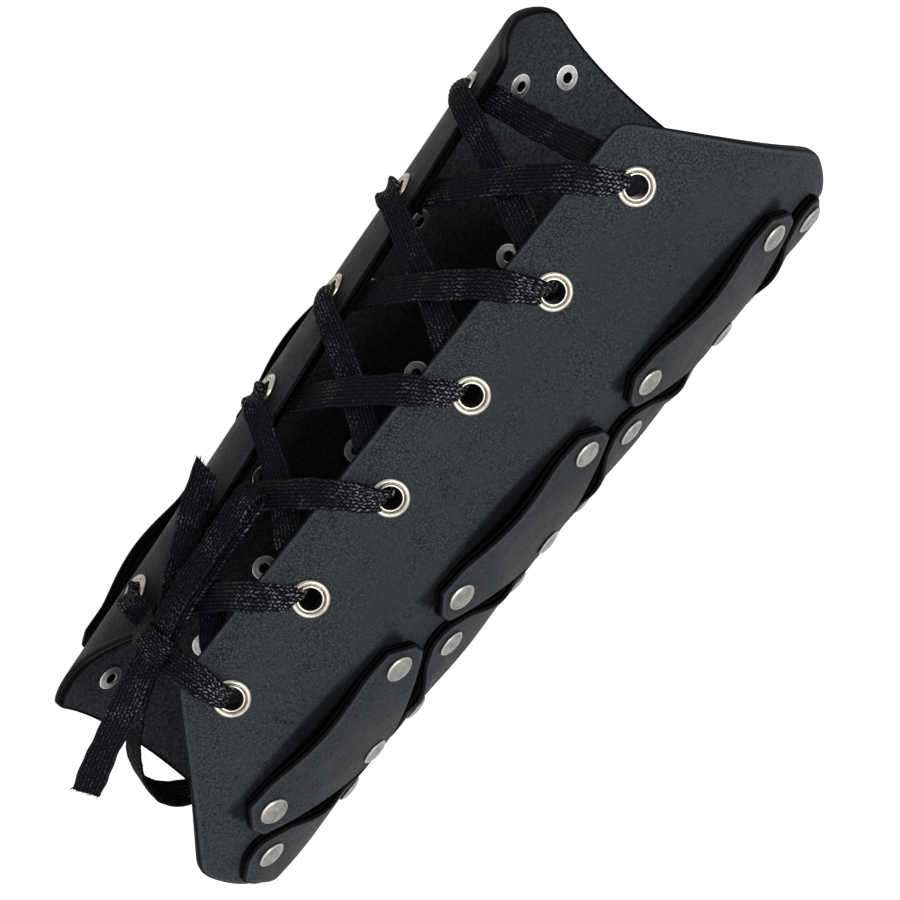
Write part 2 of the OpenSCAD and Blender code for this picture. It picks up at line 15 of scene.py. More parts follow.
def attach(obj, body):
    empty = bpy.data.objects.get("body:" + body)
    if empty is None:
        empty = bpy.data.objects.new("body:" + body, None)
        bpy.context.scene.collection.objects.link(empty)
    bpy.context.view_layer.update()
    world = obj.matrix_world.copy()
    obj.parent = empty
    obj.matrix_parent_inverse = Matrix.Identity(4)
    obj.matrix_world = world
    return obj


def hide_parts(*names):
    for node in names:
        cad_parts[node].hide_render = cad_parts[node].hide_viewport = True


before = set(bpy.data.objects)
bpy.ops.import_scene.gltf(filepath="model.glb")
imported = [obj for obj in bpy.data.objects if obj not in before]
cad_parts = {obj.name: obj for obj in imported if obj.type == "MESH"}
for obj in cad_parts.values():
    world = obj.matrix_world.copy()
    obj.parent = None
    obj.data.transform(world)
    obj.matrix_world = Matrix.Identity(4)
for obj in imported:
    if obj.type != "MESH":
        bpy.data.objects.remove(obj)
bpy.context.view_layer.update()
scene = bpy.context.scene
MM = 0.001
NEAR, FAR = -1, 1
SIDE_WORD = {NEAR: "near", FAR: "far"}

# Shell
SHELL_T = 3.5
WRIST_END, ELBOW_END, ELBOW_FLARE = 142.0, 133.5, 3.5
HALF_WIDTH, EDGE_SLOPE, TAPER = 144.5, 0.0885, 0.0872 / 100
CORNER_R = 8.0
NEAR_ARCS = ((51.0, 59.5), (82.5, 93.0), (53.0, math.inf))
FAR_ARCS, FAR_OPEN = ((50.5, 47.0), (48.5, 113.5), (63.5, math.inf)), 0.3 / 100
REST_ROLL = math.radians(8.2)
PLACE = np.array([2.79, 9.74, 5.03])
WRIST_SHOULDER, WRIST_SLANT = 88.0, 0.93
ELBOW_CORNER_X, ELBOW_CORNER_D, ELBOW_SLANT = 102.0, 154.0, 0.59
FLARE_TO, BEND_SOFT = 91.0, 3.0

# Eyelets
EYELETS, EYELET_PITCH, EDGE_MARGIN = 6, 36.5, 15.0
EYELET_R, HOLE_R, BARREL_WALL, FLANGE_H = 5.8, 3.3, 0.5, 1.1
BARREL_R = HOLE_R + BARREL_WALL
WASHER_SEAT, WASHER_T = 0.45, 0.6

# Plates, numbered from the wrist end
SIDE_PLATES, CENTRE_PLATES = (1, 2, 3), (1, 2, 3, 4)
PLATE_T, PLATE_PITCH, PLATE_X, PLATE_BORDER, TIP_R = 3.2, 83.5, -1.3, 9.0, 9.0
SIDE_RIVET_X, SIDE_RIVET_D, SIDE_RIVET_DROP = 27.8, 86.8, 27.4
SIDE_HALF, SIDE_EDGE_HALF, SIDE_TOP, SIDE_BOW, SIDE_CHAMFER_D = 36.4, 30.3, 8.4, 2.4, 7.0
CENTRE_RIVET_D, CENTRE_RIVET_X, CENTRE_GAP, END_BARE = 71.2, 25.3, 4.0, 4.0
CENTRE_BOW, CENTRE_EDGE_BOW, CORNER_SOFT = 0.9, 2.0, 0.4

# Rivets
CAP_R, CAP_H, POST_R = 4.6, 1.7, 1.55
BACK_HOLE_R, BACK_R, TUBE_R, BACK_FLANGE = 1.75, 4.4, 2.1, 0.8
SEAT_GAP, METAL_GAP, HOLE_GAP, CAP_CLEAR = 0.35, 0.08, 0.2, 1.4
STACK = SHELL_T + SEAT_GAP + PLATE_T

# Lace
LACE_W, LACE_T = 8.3, 1.5
HALF_W, HALF_T = LACE_W / 2, LACE_T / 2
KNOT_X, KNOT_UP = -95.0, 3.0

# Camera: where it stands, and the way it looks and leans, in degrees
CAMERA_AT = (8.577, -391.659, 452.581)
CAMERA_AZIMUTH, CAMERA_ELEVATION, CAMERA_ROLL = 0.524, 46.427, -52.208
CAMERA_LENS, SENSOR = 71.2, 36.0


def make_camera():
    a, e, r = (math.radians(v) for v in (CAMERA_AZIMUTH, CAMERA_ELEVATION, CAMERA_ROLL))
    back = Vector((math.sin(a) * math.cos(e), -math.cos(a) * math.cos(e), math.sin(e)))
    level = Vector((math.cos(a), math.sin(a), 0))
    upright = back.cross(level)
    right = level * math.cos(r) + upright * math.sin(r)
    data = bpy.data.cameras.new("camera")
    data.sensor_width, data.lens = SENSOR, CAMERA_LENS
    data.clip_start, data.clip_end = 0.01, 20
    camera = bpy.data.objects.new("camera", data)
    camera.rotation_mode = "QUATERNION"
    camera.location = Vector(CAMERA_AT) * MM
    camera.rotation_quaternion = Matrix((right, back.cross(right), back)).transposed().to_quaternion()
    scene.collection.objects.link(camera)
    scene.camera = camera


# Form of the shell

def unit(v):
    return v / np.maximum(np.linalg.norm(v, axis=-1, keepdims=True), 1e-12)


def soft_min(a, b, k):
    return (a + b - np.sqrt((a - b) ** 2 + k * k)) / 2


def side_section(a, arcs, tilt):
    """Place (y, z) and heading after arc length a on one side's arcs."""
    y, z, heading, start = np.zeros_like(a), np.zeros_like(a), np.full_like(a, tilt), 0.0
    for radius, end in arcs:
        turn = np.clip(a - start, 0, end - start) / radius
        y = y + radius * (np.sin(heading + turn) - np.sin(heading))
        z = z - radius * (np.cos(heading + turn) - np.cos(heading))
        heading, start = heading + turn, end
    return y, z, heading


def arrays(x, d):
    return np.broadcast_arrays(np.asarray(x, float), np.asarray(d, float))


def growth(x):
    return 1 + TAPER * x


def section(x, d):
    """Place (y, z) and heading of the section at x, before it grows with the taper."""
    x, d = arrays(x, d)
    far_arcs = FAR_ARCS[:2] + ((FAR_ARCS[2][0] * (1 + FAR_OPEN * x), math.inf),)
    ny, nz, nh = side_section(np.maximum(-d, 0), NEAR_ARCS, -REST_ROLL)
    fy, fz, fh = side_section(np.maximum(d, 0), far_arcs, REST_ROLL)
    near = d < 0
    return np.where(near, -ny, fy), np.where(near, nz, fz), np.where(near, -nh, fh)


def face(x, d):
    """Point of the outer face."""
    x, d = arrays(x, d)
    g = growth(x)
    y, z, _ = section(x, d / g)
    return PLACE + np.stack([x, g * y, g * z], -1)


PROBE = 0.1


def normal_at(x, d):
    x, d = arrays(x, d)
    return unit(np.cross(face(x, d + PROBE) - face(x, d - PROBE), face(x + PROBE, d) - face(x - PROBE, d)))


def on(x, d, lift):
    """Point at a height above the outer face."""
    return face(x, d) + np.asarray(lift, float)[..., None] * normal_at(x, d)


def to_edge(x, d):
    """Direction round the outer face, towards the lacing edge of that side."""
    h = section(x, d / growth(x))[2]
    return np.sign(d) * np.array([0.0, math.cos(h), math.sin(h)])


def edge_d(x):
    return HALF_WIDTH + EDGE_SLOPE * x


def eyelet_d(x):
    return edge_d(x) - EDGE_MARGIN


def eyelet_x(i):
    return EYELET_PITCH * ((EYELETS - 1) / 2 - i)


def corner_dip(t, slope):
    """How much a corner's arc cuts off a slanted end, at t from the lacing edge."""
    root = math.sqrt(1 + slope * slope)
    arc = slope * t - slope * CORNER_R + CORNER_R * root \
        - np.sqrt(np.maximum(CORNER_R ** 2 - (CORNER_R - t) ** 2, 0))
    return np.where(t < CORNER_R * (1 - slope / root), arc, 0)


# The width follows x, so each end takes a few steps to settle
END_STEPS = 5


def elbow_x(f):
    """End of the line at share f of the half width."""
    x = ELBOW_END
    for _ in range(END_STEPS):
        a = f * edge_d(x)
        flare = ELBOW_END + ELBOW_FLARE * np.minimum(a / FLARE_TO, 1.2) ** 2
        cut = soft_min(flare, ELBOW_CORNER_X + ELBOW_SLANT * (ELBOW_CORNER_D - a), BEND_SOFT)
        x = cut - corner_dip((1 - f) * edge_d(x), ELBOW_SLANT)
    return x


def wrist_x(f):
    x = -WRIST_END
    for _ in range(END_STEPS):
        a = f * edge_d(x)
        cut = soft_min(WRIST_END, WRIST_END - WRIST_SLANT * (a - WRIST_SHOULDER), BEND_SOFT)
        x = -cut + corner_dip((1 - f) * edge_d(x), WRIST_SLANT)
    return x


def smooth_step(t):
    t = np.clip(t, 0, 1)
    return t * t * (3 - 2 * t)


# Slow waves of the hide, the same for all that lies on it: height, pace along x and d, start
WAVES = ((0.16, 0.041, 0.018, 0.3), (0.12, -0.023, 0.052, 1.9), (0.07, 0.085, 0.061, 4.1))
STILL_D, WAVE_FADE = 8, 30


def wave(x, d):
    """Height of the waves. They fade out underneath, where the guard lies."""
    height = sum(h * np.sin(a * x + b * d + p) for h, a, b, p in WAVES)
    return smooth_step((np.abs(d) - STILL_D) / WAVE_FADE) * height


# Rivets of each plate, as (x, d)

def side_x(i):
    return PLATE_X + PLATE_PITCH * (i - 2)


def centre_x(i):
    return PLATE_X + PLATE_PITCH * (i - 2.5)


def side_rivets(i, side):
    x = side_x(i)
    ends = [(x + u * SIDE_RIVET_X, side * SIDE_RIVET_D) for u in (-1, 1)]
    return ends + [(x, side * (SIDE_RIVET_D - SIDE_RIVET_DROP))]


def centre_rivets(i):
    """A plate at an end has them only on the side that points to the middle."""
    x, inner = centre_x(i), CENTRE_RIVET_D - CENTRE_RIVET_X
    ways = {1: (1,), 4: (-1,)}.get(i, (-1, 1))
    places = []
    for side in (NEAR, FAR):
        places.append((x, side * CENTRE_RIVET_D))
        places += [(x + u * CENTRE_RIVET_X, side * inner) for u in ways]
    return places


SIDE_SETS = [(i, side) for side in (NEAR, FAR) for i in SIDE_PLATES]
ALL_RIVETS = [r for i, side in SIDE_SETS for r in side_rivets(i, side)] \
    + [r for i in CENTRE_PLATES for r in centre_rivets(i)]
ALL_EYELETS = [(eyelet_x(i), side * eyelet_d(eyelet_x(i))) for side in (NEAR, FAR) for i in range(EYELETS)]


# Pieces

def make_piece(node, ending, shape, material):
    """The smooth-shaded piece for a node, from points in millimetres, faces and numbers at each point."""
    points, faces, attributes = shape
    mesh = bpy.data.meshes.new(f"{node}_{ending}")
    mesh.from_pydata((points * MM).tolist(), [], faces)
    mesh.shade_smooth()
    for key, values in attributes.items():
        layer = mesh.attributes.new(key, "FLOAT", "POINT")
        layer.data.foreach_set("value", np.asarray(values, np.float32))
    mesh.validate()
    mesh.materials.append(material)
    piece = bpy.data.objects.new(mesh.name, mesh)
    scene.collection.objects.link(piece)
    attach(piece, "root")
    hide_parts(node)
    return piece


# Leather pieces, cut flat and laid on the form

def run_along(line):
    """Length of a line up to each of its points."""
    return np.concatenate([[0], np.cumsum(np.linalg.norm(np.diff(line, axis=0), axis=1))])


def read_at(at, run, rows):
    """Rows of numbers that are known at run, read at other places."""
    return np.stack([np.interp(at, run, column) for column in np.asarray(rows, float).T], -1)


def resampled(outline, step):
    """Points at even steps round a closed outline."""
    line = np.vstack([outline, outline[:1]])
    run = run_along(line)
    return read_at(np.linspace(0, run[-1], int(round(run[-1] / step)) + 1), run, line)[:-1]


# Points compared with an outline at a time
BATCH = 4000


def edge_distance(points, outline):
    """Distance from each point to a closed outline."""
    a, b = outline, np.roll(outline, -1, axis=0)
    best = []
    for start in range(0, len(points), BATCH):
        p = points[start:start + BATCH, None]
        t = np.clip(((p - a) * (b - a)).sum(-1) / np.maximum(((b - a) ** 2).sum(-1), 1e-12), 0, 1)
        best.append(np.linalg.norm(p - a - t[..., None] * (b - a), axis=-1).min(1))
    return np.concatenate(best)


def inside(points, outline):
    a, b = outline, np.roll(outline, -1, axis=0)
    x, y = points[:, :1], points[:, 1:]
    crosses = (a[:, 1] > y) != (b[:, 1] > y)
    rise = np.where(b[:, 1] == a[:, 1], 1e-12, b[:, 1] - a[:, 1])
    return (crosses & (x < a[:, 0] + (y - a[:, 1]) / rise * (b[:, 0] - a[:, 0]))).sum(1) % 2 == 1


# Rings of points inside the outline, as shares of its rounding, and round each hole, in millimetres
EDGE_RINGS, HOLE_RINGS = np.array([0.12, 0.35, 0.65, 1.0, 1.7]), (0.25, 0.8, 1.8)
# Rows of a grid of even triangles, as a share of its step, and the sides of a round hole
GRID_ROW, HOLE_SIDES = 0.87, 24


def cut_flat(outline, holes, step, insets):
    """A flat cut with round holes: its points, its triangles, and the point numbers of each loop."""
    out = unit(np.roll(outline, -1, axis=0) - np.roll(outline, 1, axis=0))
    out = np.stack([out[:, 1], -out[:, 0]], -1)
    turn = np.linspace(0, 2 * math.pi, HOLE_SIDES, endpoint=False)
    circle = np.stack([np.cos(turn), np.sin(turn)], -1)
    loops = [outline] + [np.array(h[:2]) + h[2] * circle for h in holes]
    rings = [outline - inset * out for inset in insets]
    rings += [np.array(h[:2]) + (h[2] + more) * circle for h in holes for more in HOLE_RINGS]
    low, high = outline.min(0), outline.max(0)
    xs, ys = np.meshgrid(np.arange(low[0], high[0], step), np.arange(low[1], high[1], step * GRID_ROW))
    xs[1::2] += step / 2
    grid = np.stack([xs.ravel(), ys.ravel()], -1)
    keep = inside(grid, outline)
    keep[keep] = edge_distance(grid[keep], outline) > insets[-1] + 0.5 * step
    for h in holes:
        keep &= np.linalg.norm(grid - np.array(h[:2]), axis=1) > h[2] + HOLE_RINGS[-1] + 0.4 * step
    numbers = np.split(np.arange(sum(map(len, loops))), np.cumsum([len(loop) for loop in loops])[:-1])
    edges = [pair for ring in numbers for pair in zip(ring.tolist(), np.roll(ring, -1).tolist())]
    points = [Vector(p) for p in np.vstack(loops + rings + [grid[keep]])]
    found, _, tris, source, _, _ = delaunay_2d_cdt(points, edges, [], 0, 1e-7)
    flat = np.array([(p.x, p.y) for p in found])
    tris = np.array([list(t) for t in tris])
    middle = flat[tris].mean(1)
    kept = inside(middle, outline)
    for h in holes:
        kept &= np.linalg.norm(middle - np.array(h[:2]), axis=1) > h[2] * 0.99
    tris = tris[kept]
    a, b, c = (flat[tris[:, k]] for k in range(3))
    back = np.cross(b - a, c - a) < 0
    tris[back] = tris[back][:, ::-1]
    index = {old: new for new, olds in enumerate(source) for old in olds}
    return flat, tris.tolist(), [[index[v] for v in ring.tolist()] for ring in numbers]


# Rounding of a cut edge, and how much of it the flesh side gets
SHELL_CUT_ROUND, PLATE_CUT_ROUND, FLESH_ROUND = 1.0, 0.9, 0.7


def unshadowed(x, d):
    return np.zeros_like(x)


def leather(outline, holes, step, base, thick, rise, round_r=PLATE_CUT_ROUND, painted_shadow=unshadowed):
    """Shape of a cut of leather: base is its underside's lift, rise(x, d) what it stands off by.

    Attributes: rim is the distance to the cut edge, skin 1 on the grain side and 0 on the flesh, and the
    third, from 0 to 1, a painted shadow that darkens the grain side where a raised edge would cast one.
    """
    if np.cross(outline, np.roll(outline, -1, axis=0)).sum() < 0:
        outline = outline[::-1]
    flat, tris, loops = cut_flat(outline, holes, step, round_r * EDGE_RINGS)
    x, d = flat.T
    rim = edge_distance(flat, outline)
    drop = round_r - np.sqrt(np.maximum(round_r ** 2 - np.maximum(round_r - rim, 0) ** 2, 0))
    stand, shadow_share = rise(x, d), painted_shadow(x, d)
    top, bottom = on(x, d, base + thick + stand - drop), on(x, d, base + stand + drop * FLESH_ROUND)
    n = len(flat)
    # On the form, x and d turn the other way round, so each face is written backwards
    faces = [tuple(t[::-1]) for t in tris] + [tuple(v + n for v in t) for t in tris]
    for way, ring in zip([1] + [-1] * len(holes), loops):
        for pair in zip(ring, ring[1:] + ring[:1]):
            p, q = pair[::way]
            faces.append((p + n, q + n, q, p))
    attributes = {"rim": np.r_[rim, rim], "skin": np.repeat([1, 0], n), "painted_shadow": np.r_[shadow_share, 0 * shadow_share]}
    return np.vstack([top, bottom]), faces, attributes


def shell_outline():
    f = np.sin(np.linspace(-math.pi / 2, math.pi / 2, 1200))
    elbow, wrist = elbow_x(np.abs(f)), wrist_x(np.abs(f))
    up = np.stack([elbow, f * edge_d(elbow)], -1)
    down = np.stack([wrist, f * edge_d(wrist)], -1)[::-1]
    return resampled(np.vstack([up, down]), SHELL_CUT_STEP)


def mirrored_outline(rows, step):
    """Closed outline from rows of (d, lowest u, highest u)."""
    d, low, high = rows.T
    right, left = np.stack([high, d], -1), np.stack([low, d], -1)[::-1]
    return resampled(np.vstack([right, left]), step)


SIDE_SLOPE = SIDE_RIVET_DROP / SIDE_RIVET_X
SIDE_POINT_D = SIDE_RIVET_D - SIDE_RIVET_DROP
SIDE_CORNER = SIDE_POINT_D - PLATE_BORDER * math.sqrt(1 + SIDE_SLOPE ** 2)


def side_outline():
    """Half of a hexagon with a rounded point, from its point to the long edge."""
    c = SIDE_CORNER + TIP_R * math.sqrt(1 + SIDE_SLOPE ** 2)
    a = np.linspace(0, math.atan(SIDE_SLOPE), 14)
    tip = np.stack([c - TIP_R * np.cos(a), TIP_R * np.sin(a)], -1)
    v = np.linspace(tip[-1, 0], SIDE_RIVET_D + SIDE_TOP, 120)
    chamfer = SIDE_EDGE_HALF + (SIDE_HALF - SIDE_EDGE_HALF) * (SIDE_RIVET_D + SIDE_TOP - v) / SIDE_CHAMFER_D
    half = soft_min(soft_min((v - SIDE_CORNER) / SIDE_SLOPE, SIDE_HALF, CORNER_SOFT), chamfer, CORNER_SOFT)
    d, half = np.vstack([tip[:-1], np.stack([v, half], -1)]).T
    return np.stack([d, -half, half], -1)


def centre_outline(i):
    half_length = (PLATE_PITCH - CENTRE_GAP) / 2
    corner = CENTRE_RIVET_D + PLATE_BORDER * math.sqrt(2)
    a = np.linspace(0, math.pi / 4, 12)
    c = corner - TIP_R * math.sqrt(2)
    tip = np.stack([c + TIP_R * np.cos(a), TIP_R * np.sin(a)], -1)
    v = np.linspace(-tip[-1, 0], tip[-1, 0], 240)
    half = soft_min(corner - np.abs(v), half_length, 2 * CORNER_SOFT)
    d, half = np.vstack([tip[:-1] * (-1, 1), np.stack([v, half], -1), tip[:-1][::-1]]).T
    low = END_BARE - WRIST_END - centre_x(1) if i == 1 else -PLATE_PITCH
    high = ELBOW_END - END_BARE - centre_x(4) if i == 4 else PLATE_PITCH
    return np.stack([d, np.maximum(-half, low), np.minimum(half, high)], -1)


def hump(u, reach):
    """1 in the middle, and 0 from reach on."""
    return np.maximum(0, 1 - (u / reach) ** 2) ** 1.5


def side_lift(u, v):
    across = hump(u, SIDE_RIVET_X - CAP_R - CAP_CLEAR)
    return SIDE_BOW * across * np.maximum(0, (v - SIDE_POINT_D - CAP_R) / SIDE_RIVET_DROP) ** 1.5


def centre_lift(u, v):
    across = hump(u, CENTRE_RIVET_X - CAP_R - CAP_CLEAR)
    inner = CENTRE_RIVET_D - CENTRE_RIVET_X
    belly = CENTRE_BOW * across * (1 - smooth_step((np.abs(v) - inner) / (CENTRE_RIVET_X - CAP_R)))
    # Along a slanted edge the lift is greatest halfway between two rivets, at the cut itself
    root = math.sqrt(2)
    along = (np.abs(u) - np.abs(v) + inner) / root
    outside = (np.abs(u) + np.abs(v) - CENTRE_RIVET_D) / root
    slanted = hump(along, CENTRE_RIVET_X / root - CAP_R - CAP_CLEAR)
    return belly + CENTRE_EDGE_BOW * slanted * smooth_step(outside / PLATE_BORDER)


CAP_PRESS, FLANGE_PRESS, PRESS_FADE = 0.3, 0.175, 2.6


def pressed(x, d, places, reach, depth):
    """How far leather is pressed in round caps or flanges of that reach."""
    total = np.zeros_like(x)
    for px, pd in places:
        total += depth * (1 - smooth_step((np.hypot(x - px, d - pd) - reach) / PRESS_FADE))
    return total


# How far the painted shadow beside a raised long edge reaches: at its ends, more in its middle, and under it
SHADOW_OUT, SHADOW_MORE, SHADOW_FADE, SHADOW_UNDER = 0.8, 2.2, 2.0, 5
# Mesh steps, over each kind of piece and along its cut
SHELL_STEP, SIDE_STEP, CENTRE_STEP = 1.8, 1.25, 1.7
SHELL_CUT_STEP, SIDE_CUT_STEP, CENTRE_CUT_STEP = 1.3, 0.9, 1.1


def make_shell(material):
    holes = [(x, d, BARREL_R + HOLE_GAP) for x, d in ALL_EYELETS] \
        + [(x, d, TUBE_R + HOLE_GAP) for x, d in ALL_RIVETS]

    def rise(x, d):
        return wave(x, d) - pressed(x, d, ALL_EYELETS, EYELET_R, FLANGE_PRESS)

    def painted_shadow(x, d):
        """Painted shadow on the shell, under and beside the raised long edges of the side plates."""
        past = np.abs(d) - SIDE_RIVET_D - SIDE_TOP
        aside = np.min([np.abs(x - side_x(i)) for i in SIDE_PLATES], axis=0)
        reach = SHADOW_OUT + SHADOW_MORE * np.maximum(0, 1 - (aside / SIDE_EDGE_HALF) ** 2)
        return (1 - smooth_step((past - reach) / SHADOW_FADE)) * (past > -SHADOW_UNDER) * (aside < SIDE_HALF)

    shape = leather(shell_outline(), holes, SHELL_STEP, -SHELL_T, SHELL_T, rise, SHELL_CUT_ROUND, painted_shadow)
    make_piece("leather_shell", "skin", shape, material)


def make_plate(name, outline, rivets, lift, step, material):
    """A plate that stands off by lift(x, d), pressed in round its caps."""
    def rise(x, d):
        return wave(x, d) + lift(x, d) - pressed(x, d, rivets, CAP_R, CAP_PRESS)

    holes = [(x, d, TUBE_R + HOLE_GAP) for x, d in rivets]
    shape = leather(outline, holes, step, SEAT_GAP, PLATE_T, rise)
    make_piece(name, "skin", shape, material)


def make_side_plate(i, side, material):
    outline = mirrored_outline(side_outline(), SIDE_CUT_STEP) * (1, side) + (side_x(i), 0)
    make_plate(f"side_plate_{SIDE_WORD[side]}_{i}", outline, side_rivets(i, side),
               lambda x, d: side_lift(x - side_x(i), side * d), SIDE_STEP, material)


def make_centre_plate(i, material):
    outline = mirrored_outline(centre_outline(i), CENTRE_CUT_STEP) + (centre_x(i), 0)
    make_plate(f"centre_plate_{i}", outline, centre_rivets(i),
               lambda x, d: centre_lift(x - centre_x(i), d), CENTRE_STEP, material)


# Metal pieces, turned from a profile of (radius, height)

def turned(profile, seats, steps):
    """One turned piece at each seat: (points, faces, attributes).

    A seat is x, d, lift, lean along and across, and spin. Attributes: seed is the piece's number, radius
    the distance from its axis.
    """
    profile = np.asarray(profile, float)
    closed = profile[0, 0] > 0 and profile[-1, 0] > 0
    a = np.linspace(0, 2 * math.pi, steps, endpoint=False)
    ring = np.stack([np.cos(a), np.sin(a)], -1)
    n, points, faces, seeds = len(profile), [], [], []
    for number, (x, d, lift, lean, spin) in enumerate(seats):
        normal = normal_at(x, d)
        along = unit(np.array([1.0, 0, 0]) - normal[0] * normal)
        across = np.cross(normal, along)
        normal = unit(normal + lean[0] * along + lean[1] * across)
        along = unit(along - (along @ normal) * normal)
        across = np.cross(normal, along)
        c, s = math.cos(spin), math.sin(spin)
        e1, e2 = c * along + s * across, c * across - s * along
        local = on(x, d, lift + wave(x, d)) + (profile[:, 0][:, None, None]
                                               * (ring[:, :1] * e1 + ring[:, 1:] * e2)
                                               + profile[:, 1][:, None, None] * normal)
        base = len(points) * n * steps
        points.append(local.reshape(-1, 3))
        seeds.append(np.full(n * steps, float(number)))
        for i in range(n if closed else n - 1):
            this, other = base + i * steps, base + (i + 1) % n * steps
            for k in range(steps):
                m = (k + 1) % steps
                faces.append((this + k, this + m, other + m, other + k))
    radii = np.tile(np.repeat(profile[:, 0], steps), len(seats))
    return np.vstack(points), faces, {"seed": np.concatenate(seeds), "radius": radii}


def arc(cx, cy, rx, ry, start, end, n):
    """Points of an arc, with its angles in degrees."""
    a = np.radians(np.linspace(start, end, n))
    return list(zip(cx + rx * np.cos(a), cy + ry * np.sin(a)))


def cap_profile():
    rim = 0.42
    dome = arc(0, rim, CAP_R - 0.12, CAP_H - rim, 88, 14, 14)
    rolled = arc(CAP_R - 0.3, 0.32, 0.3, 0.3, 60, -90, 7)
    post_end = -0.6 * STACK
    return [(0.0, CAP_H)] + dome + rolled + [(POST_R, 0.05), (POST_R, post_end), (0.0, post_end - 0.2)]


def back_profile():
    """A tube with a flange dished in towards its bore, seen from the flesh side."""
    seat = -0.3
    return [(BACK_HOLE_R, STACK - 0.5), (TUBE_R, STACK - 0.5), (TUBE_R, seat), (BACK_R - 0.25, seat)] \
        + arc(BACK_R - 0.3, seat - 0.32, 0.3, 0.32, 80, -100, 8) \
        + [(BACK_R - 1.1, seat - BACK_FLANGE + 0.06), (BACK_HOLE_R + 0.75, seat - BACK_FLANGE - 0.02)] \
        + arc(BACK_HOLE_R + 0.32, seat - BACK_FLANGE + 0.2, 0.32, 0.3, -80, -180, 6)


def eyelet_profile():
    """A rolled rim, a dark line, and the bright lip of the barrel inside it."""
    lip = -SHELL_T - WASHER_SEAT - WASHER_T - METAL_GAP
    rim = arc(EYELET_R - 0.85, 0.02, 0.85, FLANGE_H, 172, 0, 16)
    inner = arc(HOLE_R + 0.36, 0.42, 0.36, 0.42, 180, 10, 9)
    under = [(EYELET_R - 0.1, -0.15), (BARREL_R, -0.15), (BARREL_R, lip), (BARREL_R + 0.9, lip)]
    roll = arc(BARREL_R + 0.55, lip - 0.36, 0.45, 0.4, 20, -150, 7)
    return [(HOLE_R, lip), (HOLE_R, 0.2)] + inner + [(HOLE_R + 0.73, 0.22)] + rim + under + roll


def washer_profile():
    z, low = -SHELL_T - WASHER_SEAT, BARREL_R + 0.15
    return [(low, z), (EYELET_R - 0.25, z)] + arc(EYELET_R - 0.2, z - 0.28, 0.22, 0.28, 80, -80, 6) \
        + [(EYELET_R - 0.9, z - WASHER_T + 0.08), (low + 0.4, z - WASHER_T - 0.02), (low, z - WASHER_T + 0.1)]


# How much each kind of piece leans, as the spread of its slope, and the sides of a turned mesh
CAP_LEAN, BACK_LEAN, EYELET_LEAN = 0.02, 0.015, 0.008
METAL_SIDES, EYELET_SIDES = 56, 72


def make_metal(cap_material, back_material, eyelet_material):
    chance = np.random.default_rng(7)

    def put(node, profile, places, lift, lean, material, sides=METAL_SIDES):
        """Turned pieces, each with a slight lean and a turn of its own."""
        seats = [(x, d, lift, chance.normal(0, lean, 2), chance.uniform(0, 6.28)) for x, d in places]
        make_piece(node, "turned", turned(profile, seats, sides), material)

    rivets = [(f"side_rivet_%s_{SIDE_WORD[side]}", [r for i in SIDE_PLATES for r in side_rivets(i, side)])
              for side in (NEAR, FAR)]
    rivets.append(("centre_rivet_%s", [r for i in CENTRE_PLATES for r in centre_rivets(i)]))
    cap_lift = SEAT_GAP + PLATE_T - CAP_PRESS
    for node, places in rivets:
        put(node % "caps", cap_profile(), places, cap_lift, CAP_LEAN, cap_material)
        put(node % "backs", back_profile(), places, -SHELL_T, BACK_LEAN, back_material)
    for side in (NEAR, FAR):
        places = [p for p in ALL_EYELETS if p[1] * side > 0]
        for node, profile, sides in (("eyelets", eyelet_profile(), EYELET_SIDES),
                                     ("eyelet_washers", washer_profile(), METAL_SIDES)):
            put(f"{node}_{SIDE_WORD[side]}", profile, places, 0, EYELET_LEAN, eyelet_material,
                sides)


# Lace. A station is (place, normal of the band's face, fold): the fold is the half angle, in
# radians, of the gutter that the band makes, 0 where it lies flat.

FOLD, FREE_FOLD = 1.6, 0.08
FACE = HALF_T + 0.25
UNDER = -SHELL_T - HALF_T - 0.35


def station(x, a, side, lift, lean, fold):
    d = side * a
    n, g = normal_at(x, d), to_edge(x, d)
    lean = math.radians(lean)
    return on(x, d, lift + float(wave(x, d))), unit(n * math.cos(lean) + g * math.sin(lean)), fold


# Along the way out of an eyelet, pressed to the edge's side of its bore: towards the edge, lift,
# lean in degrees, fold. On the far side the band bulges higher.
BORE_SIDE = 2.3
LEAVE = ((BORE_SIDE, -0.6, 90, FOLD), (3.0, 1.15, -45, 1.35), (4.8, 1.95, -5, 0.95), (8.0, 1.45, 0, 0.55),
         (11.5, FACE + 0.05, 0, 0.22), (EDGE_MARGIN, FACE, 0, 0.1))
FAR_BULGE = (0, 1.0, 2.2, 2.8, 2.2, 1.2)
ARRIVE = ((BORE_SIDE, -4.6, 90, FOLD), (3.1, -6.1, 45, 1.2), (5.0, -6.75, 0, 0.7), (9.0, -5.7, 0, 0.3),
          (EDGE_MARGIN, UNDER, 0, 0.1))


def leave(x, side, drift):
    more = FAR_BULGE if side == FAR else np.zeros(len(LEAVE))
    return [station(x + drift * e, eyelet_d(x) + e, side, lift + m, lean, fold)
            for (e, lift, lean, fold), m in zip(LEAVE, more)]


def arrive(x, side, drift):
    return [station(x - drift * e, eyelet_d(x) + e, side, lift, lean, fold)
            for e, lift, lean, fold in ARRIVE[::-1]]


def through(x, side):
    return [station(x, eyelet_d(x) + BORE_SIDE, side, -SHELL_T / 2 - 0.6, 90, FOLD)]


def span(p, q, rise, n=6):
    """Stations between two, as an arch of that rise, or a sag where it is below 0."""
    out = []
    for i in range(1, n):
        t = i / n
        place = p[0] * (1 - t) + q[0] * t + np.array([0, 0, rise * math.sin(math.pi * t)])
        out.append((place, unit(p[1] * (1 - t) + q[1] * t), FREE_FOLD))
    return out


# Rise of one strand over the other, and the shares of its slant at which a near one leaves and arrives
PASS, NEAR_OUT, NEAR_IN = 1.8, 1.4, 0.57


